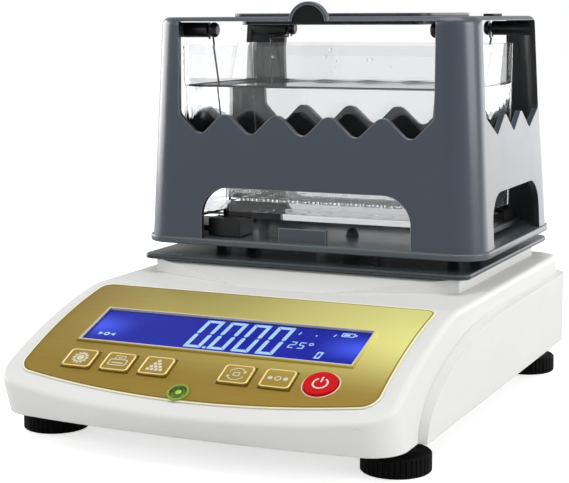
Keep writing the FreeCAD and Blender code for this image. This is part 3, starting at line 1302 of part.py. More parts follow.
def hanging_wire(tag, groove, sx, sy, y):
    """A wire over its groove: a short leg outside, a long one to the basket.
    A rear wire first runs forwards and outwards over the tank's rim."""
    inner_y = y - sy * wire_out
    route = [(groove, y + sy * wire_out, leg_z), (groove, y + sy * wire_out, wire_z),
             (groove, inner_y, wire_z),
             (groove, inner_y, leg_z)]
    if sy > 0:
        route.append((groove + sx * S.wire_spread, inner_y - S.wire_run, leg_z - S.wire_fall))
    route.append((sx * (S.basket_half_width - S.basket_wall / 2),
                  tank_mid + sy * (S.basket_half_depth - S.wire_inset),
                  basket_low + S.basket_rim - S.basket_wall))
    points = [FreeCAD.Vector(*[Size.of(size).value for size in point]) for point in route]
    r = S.wire_radius.value
    solids = [Part.makeCylinder(r, (b - a).Length, a, b - a) for a, b in zip(points, points[1:])]
    solids += [Part.makeSphere(r, p) for p in points[1:-1]]
    wire = doc.addObject("Part::Feature", "wire_%s" % tag)
    wire.Shape = solids[0].multiFuse(solids[1:]).removeSplitter()
    return wire


for tag, sx, sy in ARMS:
    y = middle + sy * S.arm_along
    tip = sx * S.arm_reach_rear if sy > 0 else S.arm_shift + sx * S.arm_reach_front
    groove = tip + sx * S.groove_inset
    part("hook_arm_%s" % tag, hook_arm(tag, tip, groove, sx, y))
    part("wire_%s" % tag, hanging_wire(tag, groove, sx, sy, y))

basket = body_plate("basket", S.basket_half_width, tank_mid - S.basket_half_depth,
                    tank_mid + S.basket_half_depth, S.basket_corner, basket_low, S.basket_rim)
inside_points, inside_arcs = rounded(S.basket_half_width - S.basket_wall,
                                     tank_mid - S.basket_half_depth + S.basket_wall,
                                     tank_mid + S.basket_half_depth - S.basket_wall,
                                     S.basket_corner - S.basket_wall)
body_pocket(basket, "basket_inside", S.basket_rim, outlines=[(inside_points, inside_arcs)], at=S.basket_wall)
columns = int((S.basket_half_width.value - S.basket_wall.value * 4) // S.basket_hole_pitch.value)
rows = int((S.basket_half_depth.value - S.basket_wall.value * 4) // S.basket_hole_pitch.value)
drain_holes = [(S.basket_hole_pitch * i, tank_mid + S.basket_hole_pitch * j, S.basket_hole_radius)
               for i in range(-columns, columns + 1) for j in range(-rows, rows + 1)]
body_pocket(basket, "basket_holes", S.basket_wall * 2, circles=drain_holes)
part("basket", basket)

# --- main board and sockets ------------------------------------------------

part("main_board", box("main_board", -S.main_half_width, S.main_half_width, -S.main_front, -S.main_rear,
                       cover_high + S.main_lift, cover_high + S.main_lift + S.board_thick))

rear_face = S.shell_rear + S.socket_proud
inlet = box("inlet_block", S.inlet_across - S.inlet_half, S.inlet_across + S.inlet_half,
            rear_face - S.inlet_depth, rear_face,
            S.inlet_level - S.inlet_half, S.inlet_level + S.inlet_half)
inlet_bore = cylinder("inlet_bore_hole", S.inlet_bore, S.inlet_depth, S.inlet_across,
                      rear_face + S.shell_wall, S.inlet_level)
inlet_bore.Placement = FreeCAD.Placement(inlet_bore.Placement.Base, PLANES["XZ"])
inlet_pin = cylinder("inlet_pin_rod", S.inlet_pin, S.inlet_depth - S.shell_wall, S.inlet_across,
                     rear_face - S.shell_wall, S.inlet_level)
inlet_pin.Placement = FreeCAD.Placement(inlet_pin.Placement.Base, PLANES["XZ"])
part("dc_inlet", join("dc_inlet", cut("inlet_shell", inlet, inlet_bore), inlet_pin))

serial = box("serial_block", S.serial_across - S.serial_half_width, S.serial_across + S.serial_half_width,
             rear_face - S.serial_depth, rear_face,
             S.inlet_level - S.serial_half_height, S.inlet_level + S.serial_half_height)
t = S.serial_rim
serial_well = prism("serial_well", "XZ",
                    [(S.serial_across - S.serial_half_width + t * 3,
                      S.inlet_level - S.serial_half_height + t),
                     (S.serial_across + S.serial_half_width - t * 3,
                      S.inlet_level - S.serial_half_height + t),
                     (S.serial_across + S.serial_half_width - t * 2,
                      S.inlet_level + S.serial_half_height - t),
                     (S.serial_across - S.serial_half_width + t * 2,
                      S.inlet_level + S.serial_half_height - t)],
                    S.serial_well * 2, both=True, y=rear_face)
part("serial_socket", cut("serial_socket", serial, serial_well))

# ---------------------------------------------------------------------------
# Check and write
# ---------------------------------------------------------------------------

doc.recompute()
problems = []
for thing in doc.Objects:
    if "Invalid" in thing.State or "Error" in thing.State:
        problems.append("%s is %s" % (thing.Label, thing.State))
for thing in NODES:
    shape = thing.Shape
    if shape.isNull() or not shape.isValid() or shape.Volume <= 0:
        problems.append("%s has no valid solid" % thing.Label)
    elif len(shape.Solids) != 1:
        problems.append("%s has %d solids" % (thing.Label, len(shape.Solids)))
if problems:
    raise RuntimeError("; ".join(problems))

os.makedirs("parts", exist_ok=True)
for thing in NODES:
    thing.Shape.exportStep("parts/%s.step" % thing.Label)
print("%d sub-parts written" % len(NODES))
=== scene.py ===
# %% [markdown]
# # An electronic gold tester
#
# A gold tester weighs a piece twice, dry in a dish and then hanging in water,
# and works out its density from the difference. The engineering model brings
# the housing, the keys, the frame, the trays and the tank as separate parts.
# This lesson gives each of them its finish, and adds what a drawing leaves
# out: the printed marks, the lit display, the water and its skin at the walls.

import json
import math

import bmesh
import bpy
import numpy as np
from mathutils import Matrix, Vector


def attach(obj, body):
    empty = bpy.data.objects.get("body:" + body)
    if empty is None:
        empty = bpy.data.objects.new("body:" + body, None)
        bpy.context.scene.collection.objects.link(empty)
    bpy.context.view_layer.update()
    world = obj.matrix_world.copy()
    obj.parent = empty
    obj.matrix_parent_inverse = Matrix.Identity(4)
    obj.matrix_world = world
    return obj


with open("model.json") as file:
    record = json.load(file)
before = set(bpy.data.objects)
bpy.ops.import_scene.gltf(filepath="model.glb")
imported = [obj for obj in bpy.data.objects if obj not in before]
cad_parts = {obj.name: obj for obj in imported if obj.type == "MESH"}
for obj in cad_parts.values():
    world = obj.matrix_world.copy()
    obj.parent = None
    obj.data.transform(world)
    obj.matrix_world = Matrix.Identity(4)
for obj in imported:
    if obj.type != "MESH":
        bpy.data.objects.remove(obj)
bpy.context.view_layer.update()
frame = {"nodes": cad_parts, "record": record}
nodes = frame["nodes"]
MM = 0.001

# %% [markdown]
# ## The camera
#
# A product portrait is taken from a little above the table, with a long lens,
# so that upright edges stay nearly upright. The camera's three axes are
# written as columns of a matrix: its right, its up, and the direction behind
# it. That states the view exactly, where three angles would depend on their
# order.

# %% Camera


def place_object(name, data):
    """A new object of the scene that shows the data."""
    thing = bpy.data.objects.new(name, data)
    bpy.context.scene.collection.objects.link(thing)
    return thing


CAMERA_RIGHT = (0.90857, 0.417713, -0.004125)
CAMERA_UP = (-0.058773, 0.1376, 0.988743)
CAMERA_BACK = (0.413578, -0.898099, 0.14957)
CAMERA_PLACE = (0.3068, -0.6945, 0.1956)

camera_data = bpy.data.cameras.new("portrait_lens")
camera_data.sensor_width = 36.0
camera_data.lens = 94.80
camera = place_object("portrait_camera", camera_data)
turn = Matrix((CAMERA_RIGHT, CAMERA_UP, CAMERA_BACK)).transposed()
camera.matrix_world = Matrix.Translation(CAMERA_PLACE) @ turn.to_4x4()
bpy.context.scene.camera = camera
print("lens:", camera_data.lens, "mm")

# %% [markdown]
# ## Colours
#
# Paint charts and pictures give colours from 0 to 255 on a curve made for
# eyes. A renderer adds up light, so it needs the plain amount of light behind
# each number. One small function does that change for every colour below.

# %% Colours


def paint(red, green, blue):
    """Linear light of a chart colour: below 0.04045 a straight line, above it
    the power 2.4 of the shifted value."""
    chart = np.array([red, green, blue]) / 255.0
    light = np.where(chart <= 0.04045, chart / 12.92, ((chart + 0.055) / 1.055) ** 2.4)
    return (*light.tolist(), 1.0)


print("housing white as light:", [round(v, 3) for v in paint(236, 236, 234)])

# %% [markdown]
# ## Wiring shaders
#
# A material is a small circuit. These helpers add a node with its settings
# and join two sockets. A socket knows the circuit it belongs to, so most of
# them need only the sockets.

# %% Shader helpers


def join(value, socket):
    """Feeds a socket from another one, or gives it a plain value."""
    if isinstance(value, bpy.types.NodeSocket):
        socket.id_data.links.new(value, socket)
    else:
        socket.default_value = value


def add(tree, kind, **settings):
    """Adds a shader node. A setting with a capital letter feeds the input of
    that name, and any other is a property of the node."""
    node = tree.nodes.new("ShaderNode" + kind)
    for name, value in settings.items():
        if name[0].isupper():
            join(value, node.inputs[name.replace("_", " ")])
        else:
            setattr(node, name, value)
    return node


def maths(operation, *values, clamp=False):
    """One sum; each of its values is a socket or a number."""
    tree = next(value.id_data for value in values if isinstance(value, bpy.types.NodeSocket))
    node = add(tree, "Math", operation=operation, use_clamp=clamp)
    for slot, value in enumerate(values):
        join(value, node.inputs[slot])
    return node.outputs[0]


def share(value, low, high, to_low=0.0, to_high=1.0, bend="LINEAR"):
    """Maps low..high evenly onto to_low..to_high."""
    node = add(value.id_data, "MapRange", interpolation_type=bend, Value=value,
               From_Min=low, From_Max=high, To_Min=to_low, To_Max=to_high)
    return node.outputs["Result"]


def ramp(*limits):
    """The same with a smooth start and end."""
    return share(*limits, bend="SMOOTHSTEP")


def blend_colours(amount, first, second):
    """A colour that goes from the first to the second."""
    node = add(amount.id_data, "Mix", data_type="RGBA")
    for slot, value in ((0, amount), (6, first), (7, second)):
        join(value, node.inputs[slot])
    return node.outputs[2]


def bump(shader, height, strength, distance, **normal):
    """Bends the shader's normal by a height, given in millimetres."""
    node = add(height.id_data, "Bump", Strength=strength, Distance=distance * MM, Height=height, **normal)
    join(node.outputs["Normal"], shader.inputs["Normal"])


print("wiring helpers ready")

# %% [markdown]
# ## Groups and materials
#
# A group is a circuit with named inputs and outputs. It is built once and
# used in many materials, each with its own values.

# %% Groups and materials
FLOAT, VECTOR = "NodeSocketFloat", "NodeSocketVector"


def open_group(name, inputs, outputs):
    """Starts a node group; returns its tree, its inputs and its outputs."""
    tree = bpy.data.node_groups.new(name, "ShaderNodeTree")
    for label, value in inputs.items():
        tree.interface.new_socket(label, in_out="INPUT", socket_type=FLOAT).default_value = value
    for label, kind in outputs.items():
        tree.interface.new_socket(label, in_out="OUTPUT", socket_type=kind)
    return tree, tree.nodes.new("NodeGroupInput").outputs, tree.nodes.new("NodeGroupOutput").inputs


def use_group(tree, group, **values):
    """Adds a group with values for its inputs; returns its outputs."""
    return add(tree, "Group", node_tree=group, **values).outputs


def finish(name, **sockets):
    """A material with one Principled shader; constants sit on its sockets."""
    material = bpy.data.materials.new(name)
    material.use_nodes = True
    tree = material.node_tree
    shader = tree.nodes["Principled BSDF"]
    for label, value in sockets.items():
        join(value, shader.inputs[label.replace("_", " ")])
    return material, tree, shader


def object_place(tree):
    """A point's place in the object's own coordinates."""
    return add(tree, "TexCoord").outputs["Object"]


def split(vector):
    """The three numbers of a vector, under X, Y and Z."""
    return add(vector.id_data, "SeparateXYZ", Vector=vector).outputs


def noise(place, scale, detail, rough):
    """A noise that reads a place."""
    node = add(place.id_data, "TexNoise", Vector=place, Scale=scale, Detail=detail, Roughness=rough)
    return node.outputs["Fac"]


def dot(first, second):
    """The product of two directions, which is largest where they agree."""
    node = add(first.id_data, "VectorMath", operation="DOT_PRODUCT")
    join(first, node.inputs[0])
    join(second, node.inputs[1])
    return node.outputs["Value"]


def surface_normal(tree, kind="Normal"):
    """The way the surface faces."""
    return add(tree, "NewGeometry").outputs[kind]


print("group helpers ready")

# %% [markdown]
# ## Moulded skin
#
# Injection moulding leaves a fine grain that the tool carries, and a broad,
# faint unevenness of gloss where the plastic cooled at its own pace. Two
# noises at two scales make both. They read the object's own coordinates, so
# the pattern stays put when a part moves.

# %% Group: moulded skin
skin_group, skin_in, skin_out = open_group(
    "Moulded Skin", {"Broad Scale": 14.0, "Grain Scale": 1800.0}, {"Mottle": FLOAT, "Grain": FLOAT})
place = object_place(skin_group)
broad = noise(place, skin_in["Broad Scale"], 3.0, 0.5)
grain = noise(place, skin_in["Grain Scale"], 2.0, 0.6)
join(ramp(broad, 0.32, 0.68), skin_out["Mottle"])
join(ramp(grain, 0.25, 0.75), skin_out["Grain"])
print("group:", skin_group.name)

# %% [markdown]
# ## Soft edges
#
# No moulded edge is sharp: it has a radius of some tenths of a millimetre, and that radius is what catches
# the light. The Bevel node looks for nearby faces and bends the normal towards them, without a single extra
# face. Where its normal leaves the true one there is an edge, and that gives a mask for a painted highlight
# along the edges.

# %% Group: soft edge
edge_group, edge_in, edge_out = open_group(
    "Soft Edge", {"Radius": 0.0006}, {"Normal": VECTOR, "Edge": FLOAT})
soften = add(edge_group, "Bevel", samples=6, Radius=edge_in["Radius"])
likeness = dot(soften.outputs["Normal"], surface_normal(edge_group, "True Normal"))
join(soften.outputs["Normal"], edge_out["Normal"])
join(ramp(likeness, 0.995, 0.85), edge_out["Edge"])
print("group:", edge_group.name)

# %% [markdown]
# ## Fine dust
#
# Dust lies only on what faces up, thickest where nothing brushes it off. The
# mask is the upward part of the normal times a patchy noise. It stays faint,
# because this instrument is new, but without it a wide tray looks computed.

# %% Group: fine dust
dust_group, dust_in, dust_out = open_group("Fine Dust", {"Patch Scale": 40.0}, {"Dust": FLOAT})
patches = noise(object_place(dust_group), dust_in["Patch Scale"], 6.0, 0.7)
upward = ramp(split(surface_normal(dust_group))["Z"], 0.6, 1.0)
patchy = ramp(patches, 0.4, 0.8)
join(maths("MULTIPLY", upward, patchy), dust_out["Dust"])
print("group:", dust_group.name)

# %% [markdown]
# ## Brushed lines
#
# The gold film and the machined metal are brushed along one direction. A
# noise that is stretched a hundredfold along X gives lines of random length,
# which is how a brush leaves them.

# %% Group: brushed lines
brush_group, brush_in, brush_out = open_group("Brushed Lines", {"Line Scale": 900.0}, {"Line": FLOAT})
stretch = add(brush_group, "Mapping", Vector=object_place(brush_group), Scale=(0.01, 1.0, 1.0))
lines = noise(stretch.outputs["Vector"], brush_in["Line Scale"], 4.0, 0.65)
join(ramp(lines, 0.3, 0.7), brush_out["Line"])
print("group:", brush_group.name)

# %% [markdown]
# ## Painted sheen
#
# The gold film runs from a deep olive gold at the front left to a pale one at the back right: a painted
# sheen, for the light that the film catches from the right and from behind. Its amount is the share of the
# way across times the share of the way back. The four limits are places in metres; the last lies just behind
# the panel's middle.

# %% Group: painted sheen
sheen_group, sheen_in, sheen_out = open_group(
    "Painted Sheen", {"Left": -0.09, "Right": 0.088, "Front": -0.130, "Back": -0.085}, {"Sheen": FLOAT})
place = split(object_place(sheen_group))
across = share(place["X"], sheen_in["Left"], sheen_in["Right"])
back = share(place["Y"], sheen_in["Front"], sheen_in["Back"])
back = ramp(back, 0.0, 1.0)
join(maths("MULTIPLY", across, back), sheen_out["Sheen"])
print("group:", sheen_group.name)

# %% [markdown]
# ## Painted shade inside the frame
#
# The frame's inner faces are painted much deeper in colour: painted shade, for the little light that reaches
# inside the frame. They are also made rougher. A face is an inner one where it looks towards the tank: the
# normal times the way out from the tank's middle is negative.

# %% Group: painted shade inside
inside_shade_group, inside_shade_in, inside_shade_out = open_group("Inside", {"Middle": 0.0616}, {"Inside": FLOAT})
place = split(object_place(inside_shade_group))
behind = maths("SUBTRACT", place["Y"], inside_shade_in["Middle"])
way_out = add(inside_shade_group, "CombineXYZ", X=place["X"], Y=behind)
outward = dot(surface_normal(inside_shade_group), way_out.outputs[0])
join(ramp(outward, -0.02, -0.04), inside_shade_out["Inside"])
print("group:", inside_shade_group.name)

# %% [markdown]
# ## Plastics
#
# Most of the instrument is moulded plastic in a few colours. One function wires the groups in the same way
# each time: mottle moves the colour and the gloss a little, grain makes a shallow bump, soft edges bend the
# normal and carry a painted highlight, faces towards the tank get painted shade, and dust dulls what faces
# up.

# %% Plastics
ROUGHER_INSIDE = 0.3


def plastic(name, colour, shade, gloss, matt, grain_scale=1800.0, grain_depth=0.02, edge=0.0006,
            edge_highlight_colour=None, edge_highlight_share=0.35, inside_shade=None, dust=0.0, dust_colour=(200, 200, 196), **sockets):
    """A moulded plastic. gloss and matt are the roughness at the two ends of the mottle, grain_depth is the
    bump's distance in millimetres, the colour given for the faces that look towards the tank is painted shade
    there, and the edge colour is a painted highlight along the edges."""
    material, tree, shader = finish(name, **sockets)
    skin = use_group(tree, skin_group, Grain_Scale=grain_scale)
    soft = use_group(tree, edge_group, Radius=edge)
    tint = blend_colours(skin["Mottle"], paint(*colour), paint(*shade))
    # The edge colour is a painted highlight laid over the soft edges.
    if edge_highlight_colour:
        amount = maths("MULTIPLY", soft["Edge"], edge_highlight_share)
        tint = blend_colours(amount, tint, paint(*edge_highlight_colour))
    rough = ramp(skin["Mottle"], 0.0, 1.0, gloss, matt)
    # Faces towards the tank get painted shade in their colour, and more roughness.
    if inside_shade:
        inward_shade = use_group(tree, inside_shade_group)["Inside"]
        tint = blend_colours(inward_shade, tint, paint(*inside_shade))
        rougher = maths("MULTIPLY", inward_shade, ROUGHER_INSIDE)
        rough = maths("ADD", rough, rougher, clamp=True)
    if dust:
        amount = maths("MULTIPLY", use_group(tree, dust_group)["Dust"], dust)
        tint = blend_colours(amount, tint, paint(*dust_colour))
        rough = maths("ADD", rough, amount, clamp=True)
    join(tint, shader.inputs["Base Color"])
    join(rough, shader.inputs["Roughness"])
    bump(shader, skin["Grain"], 0.4, grain_depth, Normal=soft["Normal"])
    return material


print("faces towards the tank are rougher by", ROUGHER_INSIDE)

# %% [markdown]
# The housing is satin white, and the frame and the trays are grey with a painted highlight along their edges.
# Rubber has the coarsest grain and the least shine.

# %% Plastic finishes
# The edge colours below are painted highlights, and the frame's colour for faces towards the tank is painted
# shade.
housing_white = plastic("housing_white", (234, 234, 232), (229, 229, 227), 0.34, 0.42,
                        edge=0.0009, dust=0.02, dust_colour=(205, 204, 200), Specular_IOR_Level=0.35)
frame_grey = plastic("frame_grey", (69, 79, 91), (65, 75, 87), 0.28, 0.34, inside_shade=(22, 25, 29),
                     edge_highlight_colour=(186, 196, 204), edge_highlight_share=0.85, Coat_Weight=0.4, Coat_Roughness=0.2)
tray_grey = plastic("tray_grey", (90, 99, 105), (84, 93, 99), 0.16, 0.22, grain_depth=0.006, edge=0.001,
                    edge_highlight_colour=(186, 196, 202), edge_highlight_share=0.85, dust=0.03)
tray_dark = plastic("tray_dark", (54, 61, 65), (49, 56, 60), 0.2, 0.28, grain_depth=0.008, edge=0.0012,
                    edge_highlight_colour=(176, 186, 190), edge_highlight_share=0.85, dust=0.02, Specular_IOR_Level=0.35)
lug_black = plastic("lug_black", (20, 21, 23), (16, 17, 19), 0.5, 0.6, edge=0.0003, Specular_IOR_Level=0.2)
black_plastic = plastic("black_plastic", (24, 26, 28), (20, 21, 23), 0.3, 0.42, edge=0.0004)
foot_rubber = plastic("foot_rubber", (12, 12, 13), (8, 8, 9), 0.55, 0.7, grain_scale=900.0, grain_depth=0.05,
                      edge=0.0003, dust=0.01, Specular_IOR_Level=0.1)
power_cap = plastic("power_cap", (212, 2, 14), (200, 1, 10), 0.4, 0.46, edge_highlight_colour=(240, 60, 60),
                    edge_highlight_share=0.3, Specular_IOR_Level=0.15)
level_cup_green = plastic("level_cup_green", (150, 172, 66), (138, 160, 58), 0.25, 0.3, edge=0.0003)
print("plastics:", len([m for m in bpy.data.materials if m.use_nodes]))

# %% [markdown]
# ## Metals and gold
#
# The panel is a gold film: a lacquer over a brushed metallic layer. It is
# metal in its colour and its shine, but the lacquer spreads the light wide,
# so its gloss is soft. Brushed lines move its colour and its roughness
# slightly. Steel and aluminium take the same lines with other numbers.

# %% Metals
BRUSH_DEPTH = 0.004


def brushed(name, colour, shade, gloss, matt, metal, edge=0.0003, far_sheen=None, **sockets):
    """A brushed finish; the far colour is a painted sheen that it runs to at the back right."""
    material, tree, shader = finish(name, Metallic=metal, **sockets)
    line = use_group(tree, brush_group)["Line"]
    skin = use_group(tree, skin_group, Broad_Scale=9.0)
    soft = use_group(tree, edge_group, Radius=edge)
    mixed = maths("MULTIPLY", maths("ADD", line, skin["Mottle"]), 0.5)
    tint = blend_colours(mixed, paint(*colour), paint(*shade))
    # The far colour is a painted sheen, brightest at the back right.
    if far_sheen:
        tint = blend_colours(use_group(tree, sheen_group)["Sheen"], tint, paint(*far_sheen))
    join(tint, shader.inputs["Base Color"])
    join(ramp(mixed, 0.0, 1.0, gloss, matt), shader.inputs["Roughness"])
    bump(shader, line, 0.3, BRUSH_DEPTH, Normal=soft["Normal"])
    return material


# The far colours of the gold film and the keys are a painted sheen towards the back right.
gold_film = brushed("gold_film", (160, 132, 46), (152, 124, 40), 0.42, 0.5, 0.55, far_sheen=(255, 252, 158),
                    Coat_Weight=0.1, Coat_Roughness=0.3)
gold_key = brushed("gold_key", (172, 145, 56), (162, 135, 48), 0.36, 0.44, 0.55, edge=0.0008,
                   far_sheen=(255, 244, 150), Coat_Weight=0.1, Coat_Roughness=0.25)
pale_gold = brushed("pale_gold", (250, 226, 158), (242, 214, 140), 0.3, 0.38, 0.3)
plated_steel = brushed("plated_steel", (176, 177, 180), (160, 161, 165), 0.24, 0.34, 1.0)
bright_wire = brushed("bright_wire", (84, 84, 86), (66, 66, 68), 0.24, 0.32, 0.85)
machined_aluminium = brushed("machined_aluminium", (190, 191, 193), (176, 178, 180), 0.3, 0.42, 1.0)
print("metals wired")

# %% [markdown]
# ## Clear materials
#
# The tank is clear acrylic with a faint grey cast, the basket is thinner
# acrylic, and the water is almost colourless. Each is a plain glass with its
# own index: 1.49 for acrylic and 1.33 for water. A renderer's lamps can't
# reach through glass without long, noisy paths, so for shadow rays only the
# material turns into a clear filter that passes most of the light.

# %% Clear materials


def clear(name, tint, index, shadow, rough=0.0):
    """Glass for the eye; for shadow rays a filter that lets a share through."""
    material, tree, shader = finish(name, Base_Color=(*tint, 1.0), Roughness=rough, IOR=index,
                                    Transmission_Weight=1.0)
    pale = add(tree, "BsdfTransparent", Color=(shadow, shadow, shadow, 1.0))
    path = add(tree, "LightPath")
    chooser = add(tree, "MixShader")
    for slot, socket in enumerate((path.outputs["Is Shadow Ray"], shader.outputs[0], pale.outputs[0])):
        join(socket, chooser.inputs[slot])
    join(chooser.outputs[0], tree.nodes["Material Output"].inputs["Surface"])
    return material, tree, shader


tank_acrylic, tank_tree, tank_shader = clear("tank_acrylic", (0.88, 0.885, 0.89), 1.49, 0.94)
basket_acrylic = clear("basket_acrylic", (0.96, 0.965, 0.97), 1.49, 0.95)[0]
water_clear, water_tree, water_shader = clear("water_clear", (0.985, 0.99, 0.995), 1.333, 0.97)
display_window = clear("display_window", (0.97, 0.98, 1.0), 1.12, 0.98, 0.02)[0]
level_liquid = clear("level_liquid", (0.80, 0.95, 0.42), 1.3, 0.95, 0.03)[0]
print("clear:", tank_acrylic.name, basket_acrylic.name, water_clear.name)

# %% [markdown]
# Acrylic that stands in use gets faint smears. A broad noise lifts the
# roughness of the tank a very little in patches, which softens what is seen
# through it here and there, and the water gets the smallest ripple.

# %% Smears and ripples
smear = use_group(tank_tree, skin_group, Broad_Scale=30.0)["Mottle"]
join(ramp(smear, 0.55, 1.0, 0.0, 0.035), tank_shader.inputs["Roughness"])
bump(water_shader, use_group(water_tree, skin_group, Broad_Scale=60.0)["Mottle"], 0.15, 0.1)
print("smears and ripples wired")

# %% [markdown]
# ## The deck's own coordinates
#
# The keypad deck is a crown: part of a cylinder whose axis runs from left to
# right. The marks on it are easiest to draw flat, so two functions carry a
# flat drawing onto it. One uses the plane that touches the deck at a given
# distance in front, for keys and display. The other follows the crown itself,
# for what is printed on the panel.

# %% Deck coordinates
CROWN_RADIUS = 265.0
CROWN_START = 49.5
CROWN_SLOPE = math.radians(8.77)
DECK_LEVEL = 61.0
CROWN_FRONT = CROWN_START - CROWN_RADIUS * math.sin(CROWN_SLOPE)
CROWN_DEPTH = CROWN_RADIUS * math.cos(CROWN_SLOPE) - DECK_LEVEL
FILM = 0.6
KEY_FRONT = 121.9


def crown_height(front):
    """Height of the crown: the root of radius squared less distance squared,
    less the axis's depth."""
    return np.sqrt(CROWN_RADIUS ** 2 - (np.asarray(front) - CROWN_FRONT) ** 2) - CROWN_DEPTH


def crown_slope(front):
    """Slope of the crown: the angle whose sine is distance over radius."""
    return np.arcsin((np.asarray(front) - CROWN_FRONT) / CROWN_RADIUS)


def on_plane(front):
    """Returns a function that carries (x, up, out) in millimetres onto the
    plane touching the deck at that distance in front, in metres."""
    tilt, height = float(crown_slope(front)), float(crown_height(front))

    def carry(x, up, out):
        y = -front + up * math.cos(tilt) - out * math.sin(tilt)
        z = height + up * math.sin(tilt) + out * math.cos(tilt)
        return np.stack([x + 0 * y, y, z], axis=-1) * MM

    return carry


def on_crown(x, along, out):
    """Carries (x, y, out) onto the gold film's own surface: out is along the
    film's normal at that place."""
    tilt = crown_slope(-along)
    return np.stack([x + 0 * along, along - out * np.sin(tilt),
                     crown_height(-along) + FILM + out * np.cos(tilt)], axis=-1) * MM


print("deck at the keys: slope", round(math.degrees(float(crown_slope(KEY_FRONT))), 2), "degrees")

# %% [markdown]
# ## Two ways to make a mark
#
# A printed line is a thin bar carried along a path, and a display segment is
# a thin plate on a polygon. Both are closed solids, a few hundredths of a
# millimetre proud, so they export as real shapes. Each point is worked out
# from two numbers, the place along the path and the place round the profile,
# as one array. The faces are the squares of that grid, and two flat caps.

# %% Faces of a grid


def grid_faces(rows, columns, wrap_rows, wrap_columns):
    """Quads of a grid of rows by columns, joined up where it wraps."""
    i, j = np.meshgrid(np.arange(rows if wrap_rows else rows - 1),
                       np.arange(columns if wrap_columns else columns - 1), indexing="ij")
    i2, j2 = (i + 1) % rows, (j + 1) % columns
    corners = [i * columns + j, i2 * columns + j, i2 * columns + j2, i * columns + j2]
    return np.stack(corners, axis=-1).reshape(-1, 4).tolist()


def tube_faces(rows, columns):
    """Faces of a closed tube: its squares, then its first and last ring."""
    last = rows * columns - 1
    caps = [list(range(columns)), list(range(last, last - columns, -1))]
    return grid_faces(rows, columns, False, True) + caps


print("faces of a square rod:", len(tube_faces(2, 4)))

# %% [markdown]
# A bar needs to know which way is left at each point of its path: that is the
# direction between the point's neighbours, turned by a quarter. A surface is
# a function that carries flat drawings onto it, so one bar suits them all.

# %% Bars and plates


def bar(path, profile, carry, closed):
    """A profile carried along a flat path. Point (i, j) is path point i, moved
    to its left by the profile's first number and lifted by its second."""
    path, profile = np.asarray(path, float), np.asarray(profile, float)
    if closed:
        ahead = np.roll(path, -1, axis=0) - np.roll(path, 1, axis=0)
    else:
        ahead = np.gradient(path, axis=0)
    ahead /= np.linalg.norm(ahead, axis=1, keepdims=True)
    u = path[:, None, 0] - ahead[:, None, 1] * profile[None, :, 0]
    v = path[:, None, 1] + ahead[:, None, 0] * profile[None, :, 0]
    points = carry(u, v, np.broadcast_to(profile[None, :, 1], u.shape)).reshape(-1, 3)
    rows, columns = u.shape
    return points, grid_faces(rows, columns, True, True) if closed else tube_faces(rows, columns)


def plate(corners, low, high, carry):
    """A polygon with thickness: its corners at two heights."""
    count = len(corners)
    u, v = np.tile(np.asarray(corners, float).T, 2)
    return carry(u, v, np.repeat([low, high], count).astype(float)), tube_faces(2, count)


def flat(width, low, high):
    """Profile of a printed line."""
    half = width / 2
    return [(-half, low), (half, low), (half, high), (-half, high)]


def bead(width, rise, low):
    """Profile of a raised half-round line."""
    angle = np.linspace(0.0, np.pi, 7)
    return np.stack([np.cos(angle) * width / 2, low + np.sin(angle) * rise], axis=1)


def pen(low, high, carry):
    """Returns one function that draws a line and one that draws a plate,
    both on the same surface."""
    def draw_line(points, width=0.5, closed=False):
        return bar(points, flat(width, low, high), carry, closed)

    return draw_line, lambda corners: plate(corners, low, high, carry)


print("points round a bead:", len(bead(1.0, 0.5, 0.0)))

# %% [markdown]
# Several shells that look alike and move together make one piece. The mesh
# tools turn its faces outwards, and edges sharper than an angle stay sharp.

# %% A piece on its body


def piece(name, shells, material, body, crease=30.0):
    """Joins shells into one mesh with its faces turned outwards, gives it its
    finish, and lets it ride on a body of the model."""
    points, faces, start = [], [], 0
    for shell_points, shell_faces in shells:
        points.append(np.asarray(shell_points))
        faces += [[corner + start for corner in face] for face in shell_faces]
        start += len(shell_points)
    mesh = bpy.data.meshes.new(name)
    mesh.from_pydata(np.concatenate(points).tolist(), [], faces)
    shape = bmesh.new()
    shape.from_mesh(mesh)
    bmesh.ops.recalc_face_normals(shape, faces=shape.faces)
    shape.to_mesh(mesh)
    shape.free()
    mesh.polygons.foreach_set("use_smooth", np.ones(len(mesh.polygons), bool))
    mesh.set_sharp_from_angle(angle=math.radians(crease))
    mesh.materials.append(material)
    thing = place_object(name, mesh)
    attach(thing, body)
    print("piece:", name, "with", len(mesh.polygons), "faces on", body)


print("pieces can be made")

# %% [markdown]
# ## Outlines
#
# Rings, arcs and rounded rectangles return in every mark, so they get one
# function each. Each is a list of points that an angle or a share of the
# outline runs through.

# %% Outlines


def arc(cx, cy, radius, start=0.0, end=360.0, steps=36):
    """Points on a circle: the centre plus radius times cosine and sine."""
    closed = abs(end - start) >= 360.0
    angle = np.radians(np.linspace(start, end, steps + closed))[:steps]
    return np.stack([cx + radius * np.cos(angle), cy + radius * np.sin(angle)], axis=1)


def rounded(x0, x1, y0, y1, radius, steps=7):
    """A rectangle with round corners: four quarter circles in a row."""
    centres = [(x1 - radius, y1 - radius, 0), (x0 + radius, y1 - radius, 90),
               (x0 + radius, y0 + radius, 180), (x1 - radius, y0 + radius, 270)]
    return np.concatenate([arc(cx, cy, radius, start, start + 89.99, steps) for cx, cy, start in centres])


print("points on a circle:", len(arc(0.0, 0.0, 1.0)))

# %% [markdown]
# ## The line round the gold panel
#
# A fine cream bead frames the gold film: its cream is partly its own and partly a painted highlight on the
# panel's edge. Just inside it a darker thread is painted shade along that edge. The outline is the panel's
# own: straight sides, two small corners behind, and a bowed front between two wide corners. It is drawn in
# plan and carried onto the crown.

